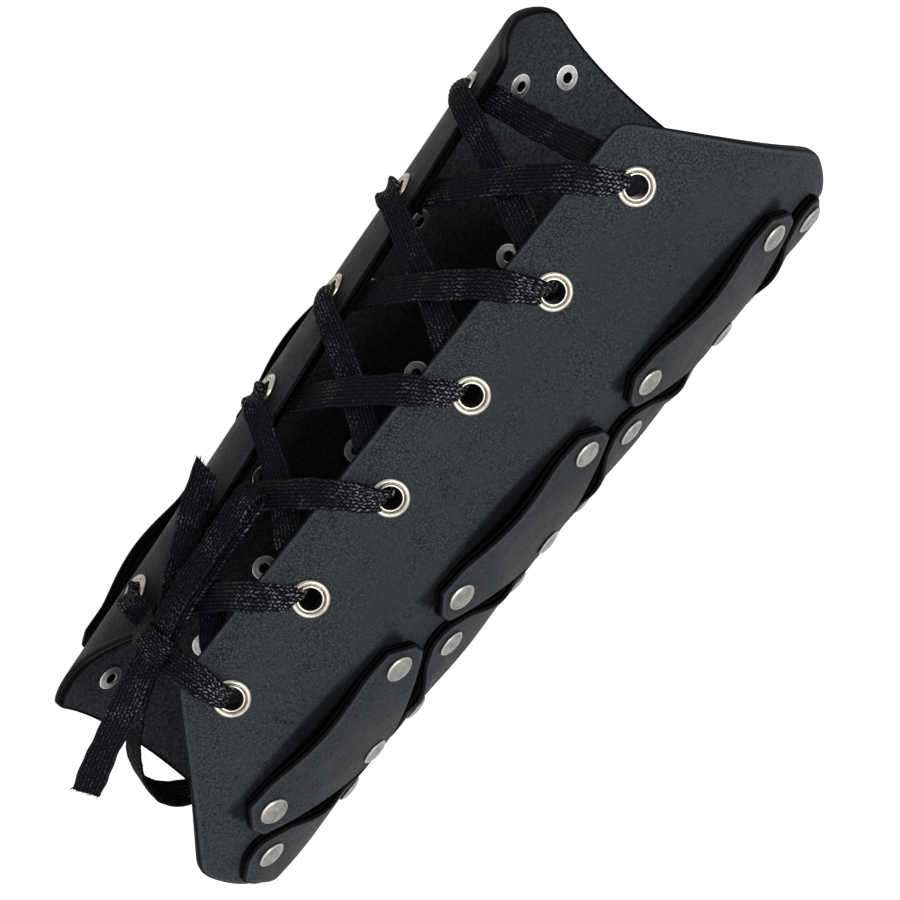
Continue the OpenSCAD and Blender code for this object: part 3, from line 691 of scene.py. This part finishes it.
def gap_at(x):
    return np.linalg.norm(face(x, edge_d(x)) - face(x, -edge_d(x)))


def crossing(i, side):
    x0, x1 = eyelet_x(i), eyelet_x(i + 1)
    drift = (x1 - x0) / (2 * EDGE_MARGIN + gap_at((x0 + x1) / 2))
    out, back = (NEAR_OUT, NEAR_IN) if side == NEAR else (1, 1)
    a, b = leave(x0, side, drift * out), arrive(x1, -side, drift * back)
    return a + span(a[-1], b[0], PASS if side == NEAR else -PASS) + b + through(x1, -side)


def side_of(i, side):
    return side if i % 2 == 0 else -side


KNOT = (face(KNOT_X, edge_d(KNOT_X)) + face(KNOT_X, -edge_d(KNOT_X))) / 2 + (0, 0, KNOT_UP)
KNOT_R = 6.5


def last_leave(side):
    x = eyelet_x(EYELETS - 1)
    drift = (KNOT_X - x) / (EDGE_MARGIN + gap_at(x) / 2)
    a = leave(x, side, drift)
    up = np.array([0.0, 0, 1])
    end = (KNOT + (0, side * 2.0, -0.5), up, 0.5)
    near = (KNOT + (0, side * (KNOT_R + 1), 0), up, 0.35)
    return a + span(a[-1], near, 0.6, 4) + [near, end]


def strand(side):
    out = []
    for i in range(EYELETS - 1):
        out += crossing(i, side_of(i, side))
    return out + last_leave(side_of(EYELETS - 1, side))


def lace_route():
    """From the knot up one side, along the bar behind the gap, and down the other side."""
    x = eyelet_x(0)
    a, b = arrive(x, FAR, 0), arrive(x, NEAR, 0)
    bar = a[::-1] + span(a[0], b[0], -1.5) + b
    return strand(FAR)[::-1] + through(x, FAR) + bar + through(x, NEAR) + strand(NEAR)


# Loops and tails of the bow, from the knot: place, and the normal of the band's face
UPPER_LOOP = ((5.8, -0.5, 2.7, 0, -0.2, 1), (16, -0.7, 5.7, 0, -0.15, 1), (30, -0.6, 7.3, 0, -0.15, 1),
              (44, 0.4, 8.0, 0, -0.15, 1), (51.5, 1, 8.1, 0.3, -0.1, 1), (54, 1.2, 6.1, 1, 0, 0),
              (51.5, 1.1, 4.1, 0.3, 0, -1), (44, 0.5, 4.1, 0, 0.1, -1), (30, -0.5, 3.9, 0, 0.1, -1),
              (16, -0.5, 2.6, 0, 0.1, -1), (5.8, 0, -0.3, 0, 0.1, -1))
LOWER_LOOP = ((-4.5, 2.6, -5.2, -0.7, 0, 0.7), (-11, 4.4, -9, -0.6, 0, 0.8), (-18.5, 5.2, -13, -0.6, 0, 0.8),
              (-31, 5.4, -22, -0.7, 0, 0.7), (-38.5, 5.4, -31, -0.9, 0, 0.4),
              (-41.5, 4.4, -41, -1, 0.2, -0.1), (-38, 1.8, -48.5, -0.6, 0.5, -0.7),
              (-30, -1, -52, 0, 0.6, -0.8), (-20.5, -3, -48.5, 0.6, 0.4, -0.7),
              (-14, -3.2, -38, 0.9, 0.1, -0.3), (-10, -2.4, -25, 0.9, 0, -0.2), (-6, -1.2, -13, 0.9, 0, -0.3),
              (-2.6, -0.6, -6.9, 0.8, 0, -0.5))
UPPER_TAIL = ((5.6, 3.4, -1.8, 0.2, -0.5, 1), (14, 8.4, -0.6, 0.1, -0.6, 1), (28, 15.2, 2.6, 0, -0.7, 1),
              (40, 21.6, 4.2, 0, -0.7, 1), (48.3, 26.5, 4.2, 0, -0.6, 1))
LOWER_TAIL = ((-5.8, -0.8, 0.4, -0.3, -0.5, 1), (-14, -1.4, -1.6, -0.25, -0.8, 1),
              (-23, -1.5, -4.4, -0.2, -1, 1), (-36, -1, -8.5, -0.2, -1, 1), (-48.8, 0, -13.9, -0.2, -1, 1))
# Where a loop or tail starts inside the knot, as a share of the way to where it comes out
IN_KNOT = 0.2


def bow_route(points, folds, both_ends):
    """Stations of a loop or tail. A loop goes back into the knot, a tail ends free."""
    points = np.array(points, float)
    ends = points[[0, -1]] * ([IN_KNOT] * 3 + [1] * 3)
    points = np.vstack([ends[:1], points, ends[1:]] if both_ends else [ends[:1], points])
    shares = np.interp(np.linspace(0, 1, len(points)), np.linspace(0, 1, len(folds)), folds)
    return [(KNOT + p[:3], unit(p[3:]), fold) for p, fold in zip(points, shares)]


def catmull(values, fine):
    """Smooth values between stations, at fine steps counted in stations."""
    values = np.asarray(values, float)
    last = len(values) - 1
    i = np.minimum(fine.astype(int), last - 1)
    t = (fine - i)[:, None]
    a, b = values[np.maximum(i - 1, 0)], values[i]
    c, d = values[i + 1], values[np.minimum(i + 2, last)]
    return (2 * b + (c - a) * t + (2 * a - 5 * b + 4 * c - d) * t ** 2 + (3 * b - a - 3 * c + d) * t ** 3) / 2


# Fine steps from one station to the next, the step along a band, and the length its turn is smoothed over
FINE_STEPS, BAND_STEP, SMOOTH_OVER = 40, 0.5, 3.0


def band_frames(route):
    """Even steps along a route: (places, directions across, directions up, folds, run)."""
    fine = np.linspace(0, len(route) - 1, FINE_STEPS * (len(route) - 1) + 1)
    places = catmull([r[0] for r in route], fine)
    loose = read_at(fine, np.arange(len(route)), [r[1] for r in route])
    folds = np.interp(fine, np.arange(len(route)), [r[2] for r in route])
    run = run_along(places)
    at = np.linspace(0, run[-1], int(round(run[-1] / BAND_STEP)) + 1)
    places, loose, folds = read_at(at, run, places), read_at(at, run, loose), np.interp(at, run, folds)
    ways = unit(np.gradient(places, axis=0))
    across = unit(np.cross(loose, ways))
    for i in range(1, len(across)):
        if across[i] @ across[i - 1] < 0:
            across[i] = -across[i]
    # A few rounds of smoothing take the jumps of the reference out of the band
    for _ in range(int(SMOOTH_OVER / BAND_STEP)):
        across[1:-1] = across[:-2] + 2 * across[1:-1] + across[2:]
        across = unit(across - (across * ways).sum(-1, keepdims=True) * ways)
    return places, across, unit(np.cross(ways, across)), folds, at


# Braid: columns of stitches side by side, each with three points across its face
COLUMNS, STITCH, RELIEF = 8, 1.5, 0.34
STITCH_SLANT, STITCH_SHIFT, SWELL_POWER, RIDGE_POWER = 0.9, 0.25, 2.2, 2.4
FACE_POINTS = 3 * COLUMNS + 1
SLANT_FADE = 9


def stitch_height(along, across):
    """Height of the braid from 0 to 1, at a run along the band and a place across it in mm."""
    column = np.clip((across / LACE_W + 0.5) * COLUMNS, 0, COLUMNS - 0.001)
    inside_column = column % 1 - 0.5
    way = 2 * (np.floor(column) % 2) - 1
    run = along / STITCH + STITCH_SLANT * way * inside_column + STITCH_SHIFT * way
    swell = 1 - np.abs(2 * (run % 1) - 1) ** SWELL_POWER
    ridge = 1 - np.abs(2 * inside_column) ** RIDGE_POWER
    return (0.45 + 0.55 * swell) * ridge


def band_shape(frames, width=1.08, slant=None):
    """Points, faces and attributes of a flat woven band along its frames.

    slant is that of its cut end, as mm along the band for each mm across it.
    """
    places, across, up, folds, at = frames
    share = np.linspace(-1, 1, FACE_POINTS)
    rounded = np.sqrt(np.maximum(1 - np.abs(share) ** 4.5, 0))
    s = np.r_[share, share[::-1][1:-1]] * HALF_W
    t = np.r_[rounded, -rounded[::-1][1:-1]] * (HALF_T - RELIEF / 2)
    # The stitches stray a little along the band, so that they never line up
    stray = at + 0.35 * np.sin(at * 0.71) + 0.25 * np.sin(at * 1.9 + 1.0)
    relief = RELIEF * stitch_height(stray[:, None], s[None]) * np.sign(t)
    # The band is a little narrower where it is folded, and breathes along its run
    breathe = 1 + 0.035 * np.sin(at * 0.31 + 1.0) + 0.025 * np.sin(at * 0.83 + 2.2)
    narrow = width * breathe * (1 - 0.04 * np.clip(folds, 0, FOLD))
    radius = HALF_W / np.maximum(folds, 1e-3)[:, None]
    angle = s[None] * narrow[:, None] / radius
    high = t + relief
    side = np.sin(angle) * (radius - high)
    rise = (1 - np.cos(angle)) * radius + high * np.cos(angle)
    rise = rise + 0.10 * np.sin(at * 0.47)[:, None] * np.sin(s * 1.1)[None] \
        + 0.07 * np.sin(at * 1.31 + 0.7)[:, None] * np.cos(s * 0.7)[None]
    points = places[:, None] + side[..., None] * across[:, None] + rise[..., None] * up[:, None]
    ways = unit(np.gradient(places, axis=0))
    if slant is not None:
        fade = np.clip(1 - (at[-1] - at) / SLANT_FADE, 0, 1)
        points += (fade[:, None] * slant * s[None])[..., None] * ways[:, None]
    n, k = len(places), len(s)
    faces = [(i * k + j, i * k + (j + 1) % k, (i + 1) * k + (j + 1) % k, (i + 1) * k + j)
             for i in range(n - 1) for j in range(k)]
    for base, way in ((0, 1), ((n - 1) * k, -1)):
        for j in range(FACE_POINTS - 1):
            a, b = base + j, base + j + 1
            c, d = base + (k - j) % k, base + (k - j - 1) % k
            faces.append(tuple(dict.fromkeys((a, b, d, c)[::way])))
    attributes = {"along": np.repeat(stray, k), "across": np.tile(s, n), "fold": np.repeat(folds, k)}
    return points.reshape(-1, 3), faces, attributes


def joined(parts):
    points, faces, attributes, base = [], [], {}, 0
    for p, f, a in parts:
        points.append(p)
        faces += [tuple(v + base for v in face) for face in f]
        for key, values in a.items():
            attributes.setdefault(key, []).append(values)
        base += len(p)
    return np.vstack(points), faces, {k: np.concatenate(v) for k, v in attributes.items()}


FIBRES = 34


def fibres(place, across, up, way, slant, chance):
    """Short loose threads at a cut end: thin tapered tubes."""
    parts = []
    for _ in range(FIBRES):
        s, t = chance.uniform(-HALF_W, HALF_W), chance.uniform(-0.5, 0.5) * HALF_T
        root = place + s * across + t * up + (slant * s - 0.7) * way
        lean = unit(way + across * chance.normal(0, 0.35) + up * chance.normal(0, 0.35))
        long = 0.7 + chance.uniform(0.3, 1.5)
        line = [root, root + lean * long * 0.5, root + lean * long + up * chance.normal(0, 0.2)]
        e1 = unit(np.cross(lean, across))
        e2 = np.cross(lean, e1)
        points = []
        for q, r in zip(line, (0.17, 0.14, 0.04)):
            for a in (0, 1.57, 3.14, 4.71):
                points.append(q + r * (math.cos(a) * e1 + math.sin(a) * e2))
        faces = [(i * 4 + j, i * 4 + (j + 1) % 4, i * 4 + 4 + (j + 1) % 4, i * 4 + 4 + j)
                 for i in range(2) for j in range(4)] + [(3, 2, 1, 0), (8, 9, 10, 11)]
        along = 3.0 + chance.uniform(0, 1)
        attributes = {"along": np.full(12, along), "across": np.full(12, s), "fold": np.zeros(12)}
        parts.append((np.array(points), faces, attributes))
    return parts


def declare(path):
    round(float(run_along(path)[-1]) * MM, 3)


def knot_wrap(radius_y, radius_z, start, turn, drift, tilt):
    """Route of a band that goes round the knot, across the bow. Start and turn are in degrees."""
    out = []
    for t in np.linspace(0, 1, 22):
        a = math.radians(start + turn * t)
        swell = 1 + 0.05 * t
        place = np.array([drift * (t - 0.5) + tilt * math.cos(a), radius_y * swell * math.cos(a),
                          radius_z * swell * math.sin(a)])
        normal = unit(np.array([0, math.cos(a) / radius_y, math.sin(a) / radius_z]))
        out.append((KNOT + place, normal, 0.0))
    return out


# Name, route, folds along it, slant of the cut end where it has one, far end and lay
BOWS = (("bow_loop_upper", UPPER_LOOP, (0.35, 0.1, 0, 0.1, 0.35), None, "object", "loose"),
        ("bow_loop_lower", LOWER_LOOP, (0.4, 0.1, 0, 0, 0.1, 0.4), None, "object", "hanging"),
        ("bow_tail_upper", UPPER_TAIL, (0.45, 0.15, 0.05), 0.75, "bare", "loose"),
        ("bow_tail_lower", LOWER_TAIL, (0.45, 0.12, 0.05), -0.18, "bare", "loose"))


def make_lace(material):
    chance = np.random.default_rng(11)
    wraps = [knot_wrap(6.4, 5.2, 200, 390, 1.6, 0.8), knot_wrap(5.2, 4.0, -30, 330, -5.0, -1.5)]
    knot_parts = [band_shape(band_frames(w), width=0.92) for w in wraps]
    knot = make_piece("bow_knot", "band", joined(knot_parts), material)
    frames = band_frames(lace_route())
    lace = make_piece("lace", "band", band_shape(frames), material)
    declare(frames[0])
    for name, points, folds, slant, far_end, lay in BOWS:
        frames = band_frames(bow_route(points, folds, slant is None))
        places, across, up = frames[:3]
        parts = [band_shape(frames, slant=slant)]
        if slant is not None:
            parts += fibres(places[-1], across[-1], up[-1], unit(places[-1] - places[-2]), slant, chance)
        piece = make_piece(name, "band", joined(parts), material)
        declare(places)


# Materials

class Nodes:
    """Short calls for the nodes of one tree."""

    def __init__(self, tree):
        self.tree = tree

    def node(self, kind, inputs=(), **settings):
        made = self.tree.nodes.new("ShaderNode" + kind)
        for key, value in settings.items():
            setattr(made, key, value)
        for key, value in dict(inputs).items():
            self.put(made.inputs[key], value)
        return made

    def put(self, socket, value):
        if isinstance(value, bpy.types.NodeSocket):
            self.tree.links.new(value, socket)
        else:
            socket.default_value = value

    def place(self):
        """Place in the row frame, in millimetres."""
        at = self.node("TexCoord").outputs["Object"]
        return self.node("VectorMath", {0: at, 1: (1000, 1000, 1000)}, operation="MULTIPLY").outputs[0]

    def number(self, name):
        return self.node("Attribute", attribute_name=name).outputs["Fac"]

    def noise(self, at, size, detail, rough, seed=0.0):
        made = self.node("TexNoise", {"Vector": at, "Scale": 1 / size, "Detail": detail, "Roughness": rough,
                                      "W": seed}, noise_dimensions="4D")
        return made.outputs["Fac"]

    def cells(self, at, size, feature="F1"):
        made = self.node("TexVoronoi", {"Vector": at, "Scale": 1 / size}, feature=feature)
        return made.outputs["Distance"]

    def sum(self, a, b):
        return self.math("ADD", a, b)

    def times(self, a, b):
        return self.math("MULTIPLY", a, b)

    def math(self, operation, a, b=0.0):
        return self.node("Math", {0: a, 1: b}, operation=operation).outputs[0]

    def ramp(self, value, low, high, to_low=0.0, to_high=1.0):
        made = self.node("MapRange", {"Value": value, "From Min": low, "From Max": high, "To Min": to_low,
                                      "To Max": to_high}, interpolation_type="SMOOTHSTEP")
        return made.outputs["Result"]

    def mix(self, share, a, b):
        a, b = ((*colour, 1) if isinstance(colour, tuple) else colour for colour in (a, b))
        return self.node("Mix", {"Factor": share, 6: a, 7: b}, data_type="RGBA").outputs[2]

    def bump(self, height, distance, strength, normal=None):
        inputs = {"Height": height, "Distance": distance * MM, "Strength": strength}
        if normal is not None:
            inputs["Normal"] = normal
        return self.node("Bump", inputs).outputs["Normal"]

    def seen(self):
        """1 for what the camera sees, straight or in a gloss or glass, and 0 for light."""
        rays = self.node("LightPath").outputs
        clear = self.math("MAXIMUM", rays["Is Glossy Ray"], rays["Is Transmission Ray"])
        return self.math("MAXIMUM", rays["Is Camera Ray"], clear)


class Look(Nodes):
    """A node material on one Principled shader."""

    def __init__(self, name):
        self.material = bpy.data.materials.new(name)
        self.material.use_nodes = True
        super().__init__(self.material.node_tree)
        self.shader = self.tree.nodes["Principled BSDF"]

    def set(self, **values):
        for key, value in values.items():
            self.put(self.shader.inputs[key.replace("_", " ")], value)


FAINT_GLOSS = 0.05
# Near black of the dyed cut, also used to paint the shadow beside raised plate edges; and the flesh side's
# colours
CUT_DYE_AND_SHADE, FLESH_DARK, FLESH_PALE = (0.0012, 0.0014, 0.002), (0.012, 0.0135, 0.016), (0.075, 0.081, 0.09)


def leather_look(name, tone, tint, grain):
    """Smooth finished leather outside, napped flesh inside, dyed cut edges. tone is its mid colour."""
    look = Look(name)
    mix, noise, ramp, times = look.mix, look.noise, look.ramp, look.times
    rim, skin, painted_shadow = look.number("rim"), look.number("skin"), look.number("painted_shadow")
    flat = look.place()
    sway = look.node("TexNoise", {"Vector": flat, "Scale": 1 / grain, "Detail": 1.0}).outputs["Color"]
    swayed = look.node("VectorMath", {0: sway, 1: (grain,) * 3, 2: flat}, operation="MULTIPLY_ADD")
    at = swayed.outputs[0]

    def shade(strength):
        return tuple(tone * strength * v for v in tint)

    crease = ramp(look.cells(at, grain, "DISTANCE_TO_EDGE"), 0.0, 0.16)
    pebble = look.cells(at, grain)
    fine = noise(flat, grain * 0.8, 2, 0.5)
    broad = noise(flat, 38, 4, 0.55, 3.0)
    cloud = noise(flat, 9, 4, 0.6, 8.0)
    # Painted sheen: the margin of a piece is paler and more open in its grain than its middle, like a lit
    # band near a lacing edge
    edge_sheen = times(ramp(rim, 4, 30, 1.0, 0.0), ramp(cloud, 0.2, 0.6, 0.5, 1.0))
    outer = mix(ramp(broad, 0.3, 0.7), shade(0.84), shade(1.12))
    outer = mix(times(edge_sheen, 0.5), outer, shade(1.5))
    outer = mix(times(ramp(cloud, 0.5, 0.8), 0.3), outer, shade(1.45))
    # The grain stands out more in some stretches of the hide than in others, and most in the painted sheen of
    # the margin
    open_grain = look.math("MAXIMUM", edge_sheen, ramp(look.sum(cloud, broad), 0.8, 1.2, 0.25, 1.0))
    outer = mix(times(ramp(fine, 0.5, 0.66, 0.0, 0.8), open_grain), outer, shade(1.75))
    outer = mix(times(ramp(fine, 0.34, 0.5, 0.7, 0.0), open_grain), outer, shade(0.65))
    # Painted shade: the creases between the pebbles of the grain are darker
    outer = mix(times(ramp(crease, 0.0, 0.8, 0.85, 0.0), open_grain), outer, shade(0.12))
    # A painted highlight, a thin pale line on the rounding just inside the cut, and the dyed cut itself
    edge_highlight = times(ramp(rim, 0.6, 1.0), ramp(rim, 1.1, 2.0, 1.0, 0.0))
    outer = mix(times(edge_highlight, ramp(cloud, 0.3, 0.7, 0.2, 0.7)), outer, shade(1.9))
    outer = mix(ramp(rim, 0.3, 0.9, 1.0, 0.0), outer, CUT_DYE_AND_SHADE)
    # Painted shadow of the raised long edges of the side plates on the shell, in the near black of the dyed
    # cut
    outer = mix(times(painted_shadow, 0.85), outer, CUT_DYE_AND_SHADE)
    nap = noise(flat, 0.9, 5, 0.7, 2.0)
    flesh = mix(ramp(nap, 0.3, 0.7), FLESH_DARK, FLESH_PALE)
    flesh = mix(ramp(rim, 0.7, 1.5, 1.0, 0.0), flesh, CUT_DYE_AND_SHADE)
    face = ramp(skin, 0.35, 0.65)
    height = look.sum(look.sum(times(crease, 0.6), times(pebble, -0.3)), times(fine, 0.5))
    skin_bump = look.bump(height, 0.16, 0.8)
    skin_bump = look.bump(cloud, 0.3, 0.4, skin_bump)
    flesh_bump = look.bump(nap, 0.25, 0.6)
    normal = look.node("Mix", {"Factor": face, 4: flesh_bump, 5: skin_bump}, data_type="VECTOR")
    worn = ramp(cloud, 0.3, 0.7, 0.50, 0.62)
    rough = look.node("Mix", {"Factor": face, 2: 0.95, 3: worn}, data_type="FLOAT")
    look.set(Base_Color=mix(face, flesh, outer), Normal=normal.outputs[1], Roughness=rough.outputs[0],
             Specular_IOR_Level=FAINT_GLOSS)
    return look.material


def metal_look(name, colour, dirt, rough, brushed, worn, painted_shade_rings):
    """Antique nickel. worn is the ring of radii that wear keeps bright, and the rings after it are painted
    near black as shade.
    """
    look = Look(name)
    mix, noise, ramp, times = look.mix, look.noise, look.ramp, look.times
    at, seed, radius = look.place(), look.number("seed"), look.number("radius")
    wear = noise(at, 2.4, 4, 0.6, seed)
    fine = noise(at, 0.35, 3, 0.6, seed)
    stain = noise(at, 0.9, 4, 0.65, 4.0)

    def ring(low, high, soft=0.12):
        outside = ramp(radius, low - soft, low + soft)
        return times(outside, ramp(radius, high - soft, high + soft, 1, 0))

    base = mix(ramp(wear, 0.35, 0.7), colour, tuple(v * 0.62 for v in colour))
    base = mix(times(ramp(stain, 0.5, 0.75), 0.45), base, dirt)
    base = mix(times(ring(*worn), 0.8), base, tuple(min(0.95, v * 1.5) for v in colour))
    # Painted shade: near black at the outer edge of a cap, next to the plate, and down the bore of a back or
    # an eyelet
    for low, high in painted_shade_rings:
        base = mix(ring(low, high), base, tuple(v * 0.12 for v in dirt))
    stretched = look.node("Mapping", {"Vector": at, "Scale": (0.25, 1.6, 1.6)}).outputs[0]
    lines = noise(stretched, 0.5, 2, 0.5, seed)
    height = look.sum(times(lines, brushed), times(fine, 0.4))
    look.set(Base_Color=base, Metallic=1.0, Normal=look.bump(height, 0.03, 0.5),
             Roughness=ramp(wear, 0.3, 0.75, rough, rough + 0.14))
    return look.material


def lace_look():
    """Waxed flat braid: columns of slanted stitches, as stitch_height gives them."""
    look = Look("waxed_lace_look")
    mix, noise, ramp, times = look.mix, look.noise, look.ramp, look.times
    at = look.place()
    along, across = look.number("along"), look.number("across")
    column = look.math("DIVIDE", look.sum(across, HALF_W), LACE_W / COLUMNS)
    inside_column = look.math("SUBTRACT", look.math("FRACT", column), 0.5)
    odd = look.math("MODULO", look.math("FLOOR", column), 2.0)
    way = look.math("SUBTRACT", times(odd, 2.0), 1.0)
    slant = times(way, look.sum(times(inside_column, STITCH_SLANT), STITCH_SHIFT))
    run = look.sum(look.math("DIVIDE", along, STITCH), slant)
    off = look.math("ABSOLUTE", look.math("SUBTRACT", times(look.math("FRACT", run), 2.0), 1.0))
    swell = look.math("SUBTRACT", 1.0, look.math("POWER", off, SWELL_POWER))
    aside = times(look.math("ABSOLUTE", inside_column), 2.0)
    ridge = look.math("SUBTRACT", 1.0, look.math("POWER", aside, RIDGE_POWER))
    height = times(swell, ridge)
    threads = noise(at, 0.22, 3, 0.7, 1.0)
    patches = noise(at, 11, 3, 0.6, 9.0)
    # Painted glints: pale specks on the crests of the stitches, in noise; the same mask makes the wax there
    # smoother
    wax_and_glint = times(ramp(height, 0.5, 0.8), ramp(noise(at, 0.9, 2, 0.6, 7.0), 0.44, 0.58))
    # The painted glints, and the smoother wax under them, gather where the band is folded to go through an
    # eyelet or the knot
    folded = ramp(look.number("fold"), 0.2, 0.7)
    wax_and_glint = times(wax_and_glint, look.math("MAXIMUM", ramp(patches, 0.46, 0.66, 0.08, 0.6), folded))
    # Painted shade: the grooves between the stitches are darker than their crests
    base = mix(ramp(height, 0.1, 0.75), (0.0004, 0.0005, 0.0008), (0.0060, 0.0070, 0.0105))
    # Painted glints, pale where the mask is
    base = mix(times(wax_and_glint, 0.85), base, (0.26, 0.27, 0.28))
    relief = look.bump(look.sum(height, times(threads, 0.35)), 0.25, 0.9)
    look.set(Base_Color=base, Normal=relief, Roughness=ramp(wax_and_glint, 0.0, 0.8, 0.62, 0.34),
             Specular_IOR_Level=FAINT_GLOSS)
    return look.material


# Floor, light and backdrop. The world is white where it is seen, and lights far less.

WORLD_LIGHT, FLOOR_GLOW = 0.10, 0.95


def make_stage():
    look = Look("floor_look")
    look.set(Base_Color=(0.7, 0.7, 0.7, 1), Roughness=0.9, Specular_IOR_Level=0.1)
    glow = look.node("Emission", {"Color": (1, 1, 1, 1), "Strength": look.times(look.seen(), FLOOR_GLOW)})
    both = look.node("AddShader", {0: look.shader.outputs[0], 1: glow.outputs[0]})
    look.put(look.tree.nodes["Material Output"].inputs["Surface"], both.outputs[0])
    bpy.ops.mesh.primitive_plane_add(size=8)
    floor = bpy.context.object
    floor.name = "floor"
    floor.data.materials.append(look.material)

    world = bpy.data.worlds.new("studio")
    world.use_nodes = True
    nodes = Nodes(world.node_tree)
    background = nodes.tree.nodes["Background"].inputs
    nodes.put(background["Color"], (1, 1, 1, 1))
    nodes.put(background["Strength"], nodes.ramp(nodes.seen(), 0, 1, WORLD_LIGHT, 1))
    scene.world = world


# Lamps, aimed at a point: name, place in metres, size in metres, power in watts
LAMP_AIM = Vector((0, 0, 0.05))
LAMPS = (("key", (0.35, -1.6, 0.75), 0.9, 23.0), ("fill", (-0.9, -1.3, 0.75), 0.9, 7.0))


def make_lamps():
    for name, place, size, power in LAMPS:
        data = bpy.data.lights.new(name, "AREA")
        data.shape, data.size, data.energy = "DISK", size, power
        lamp = bpy.data.objects.new(name, data)
        lamp.location = place
        lamp.rotation_euler = (LAMP_AIM - Vector(place)).to_track_quat("-Z", "Y").to_euler()
        scene.collection.objects.link(lamp)


scene.view_settings.view_transform = "Standard"
make_camera()
make_lace(lace_look())
shell_look = leather_look("shell_leather_look", 0.039, (0.90, 1.0, 1.14), 0.95)
plate_look = leather_look("plate_leather_look", 0.034, (0.92, 1.0, 1.10), 0.95)
make_shell(shell_look)
for number, plate_side in SIDE_SETS:
    make_side_plate(number, plate_side, plate_look)
for number in CENTRE_PLATES:
    make_centre_plate(number, plate_look)
make_metal(metal_look("cap_metal_look", (0.27, 0.265, 0.245), (0.09, 0.088, 0.08), 0.36, 1.0,
                      (CAP_R - 0.5, CAP_R - 0.15), ((CAP_R - 0.02, CAP_R + 1),)),
           metal_look("back_metal_look", (0.5, 0.5, 0.49), (0.2, 0.2, 0.19), 0.36, 0.3,
                      (BACK_R - 0.45, BACK_R - 0.1), ((0, BACK_HOLE_R + 0.1),)),
           metal_look("eyelet_metal_look", (0.44, 0.415, 0.35), (0.2, 0.17, 0.13), 0.26, 0.05,
                      (HOLE_R + 0.3, HOLE_R + 0.5), ((0, HOLE_R + 0.02),)))
make_stage()
make_lamps()
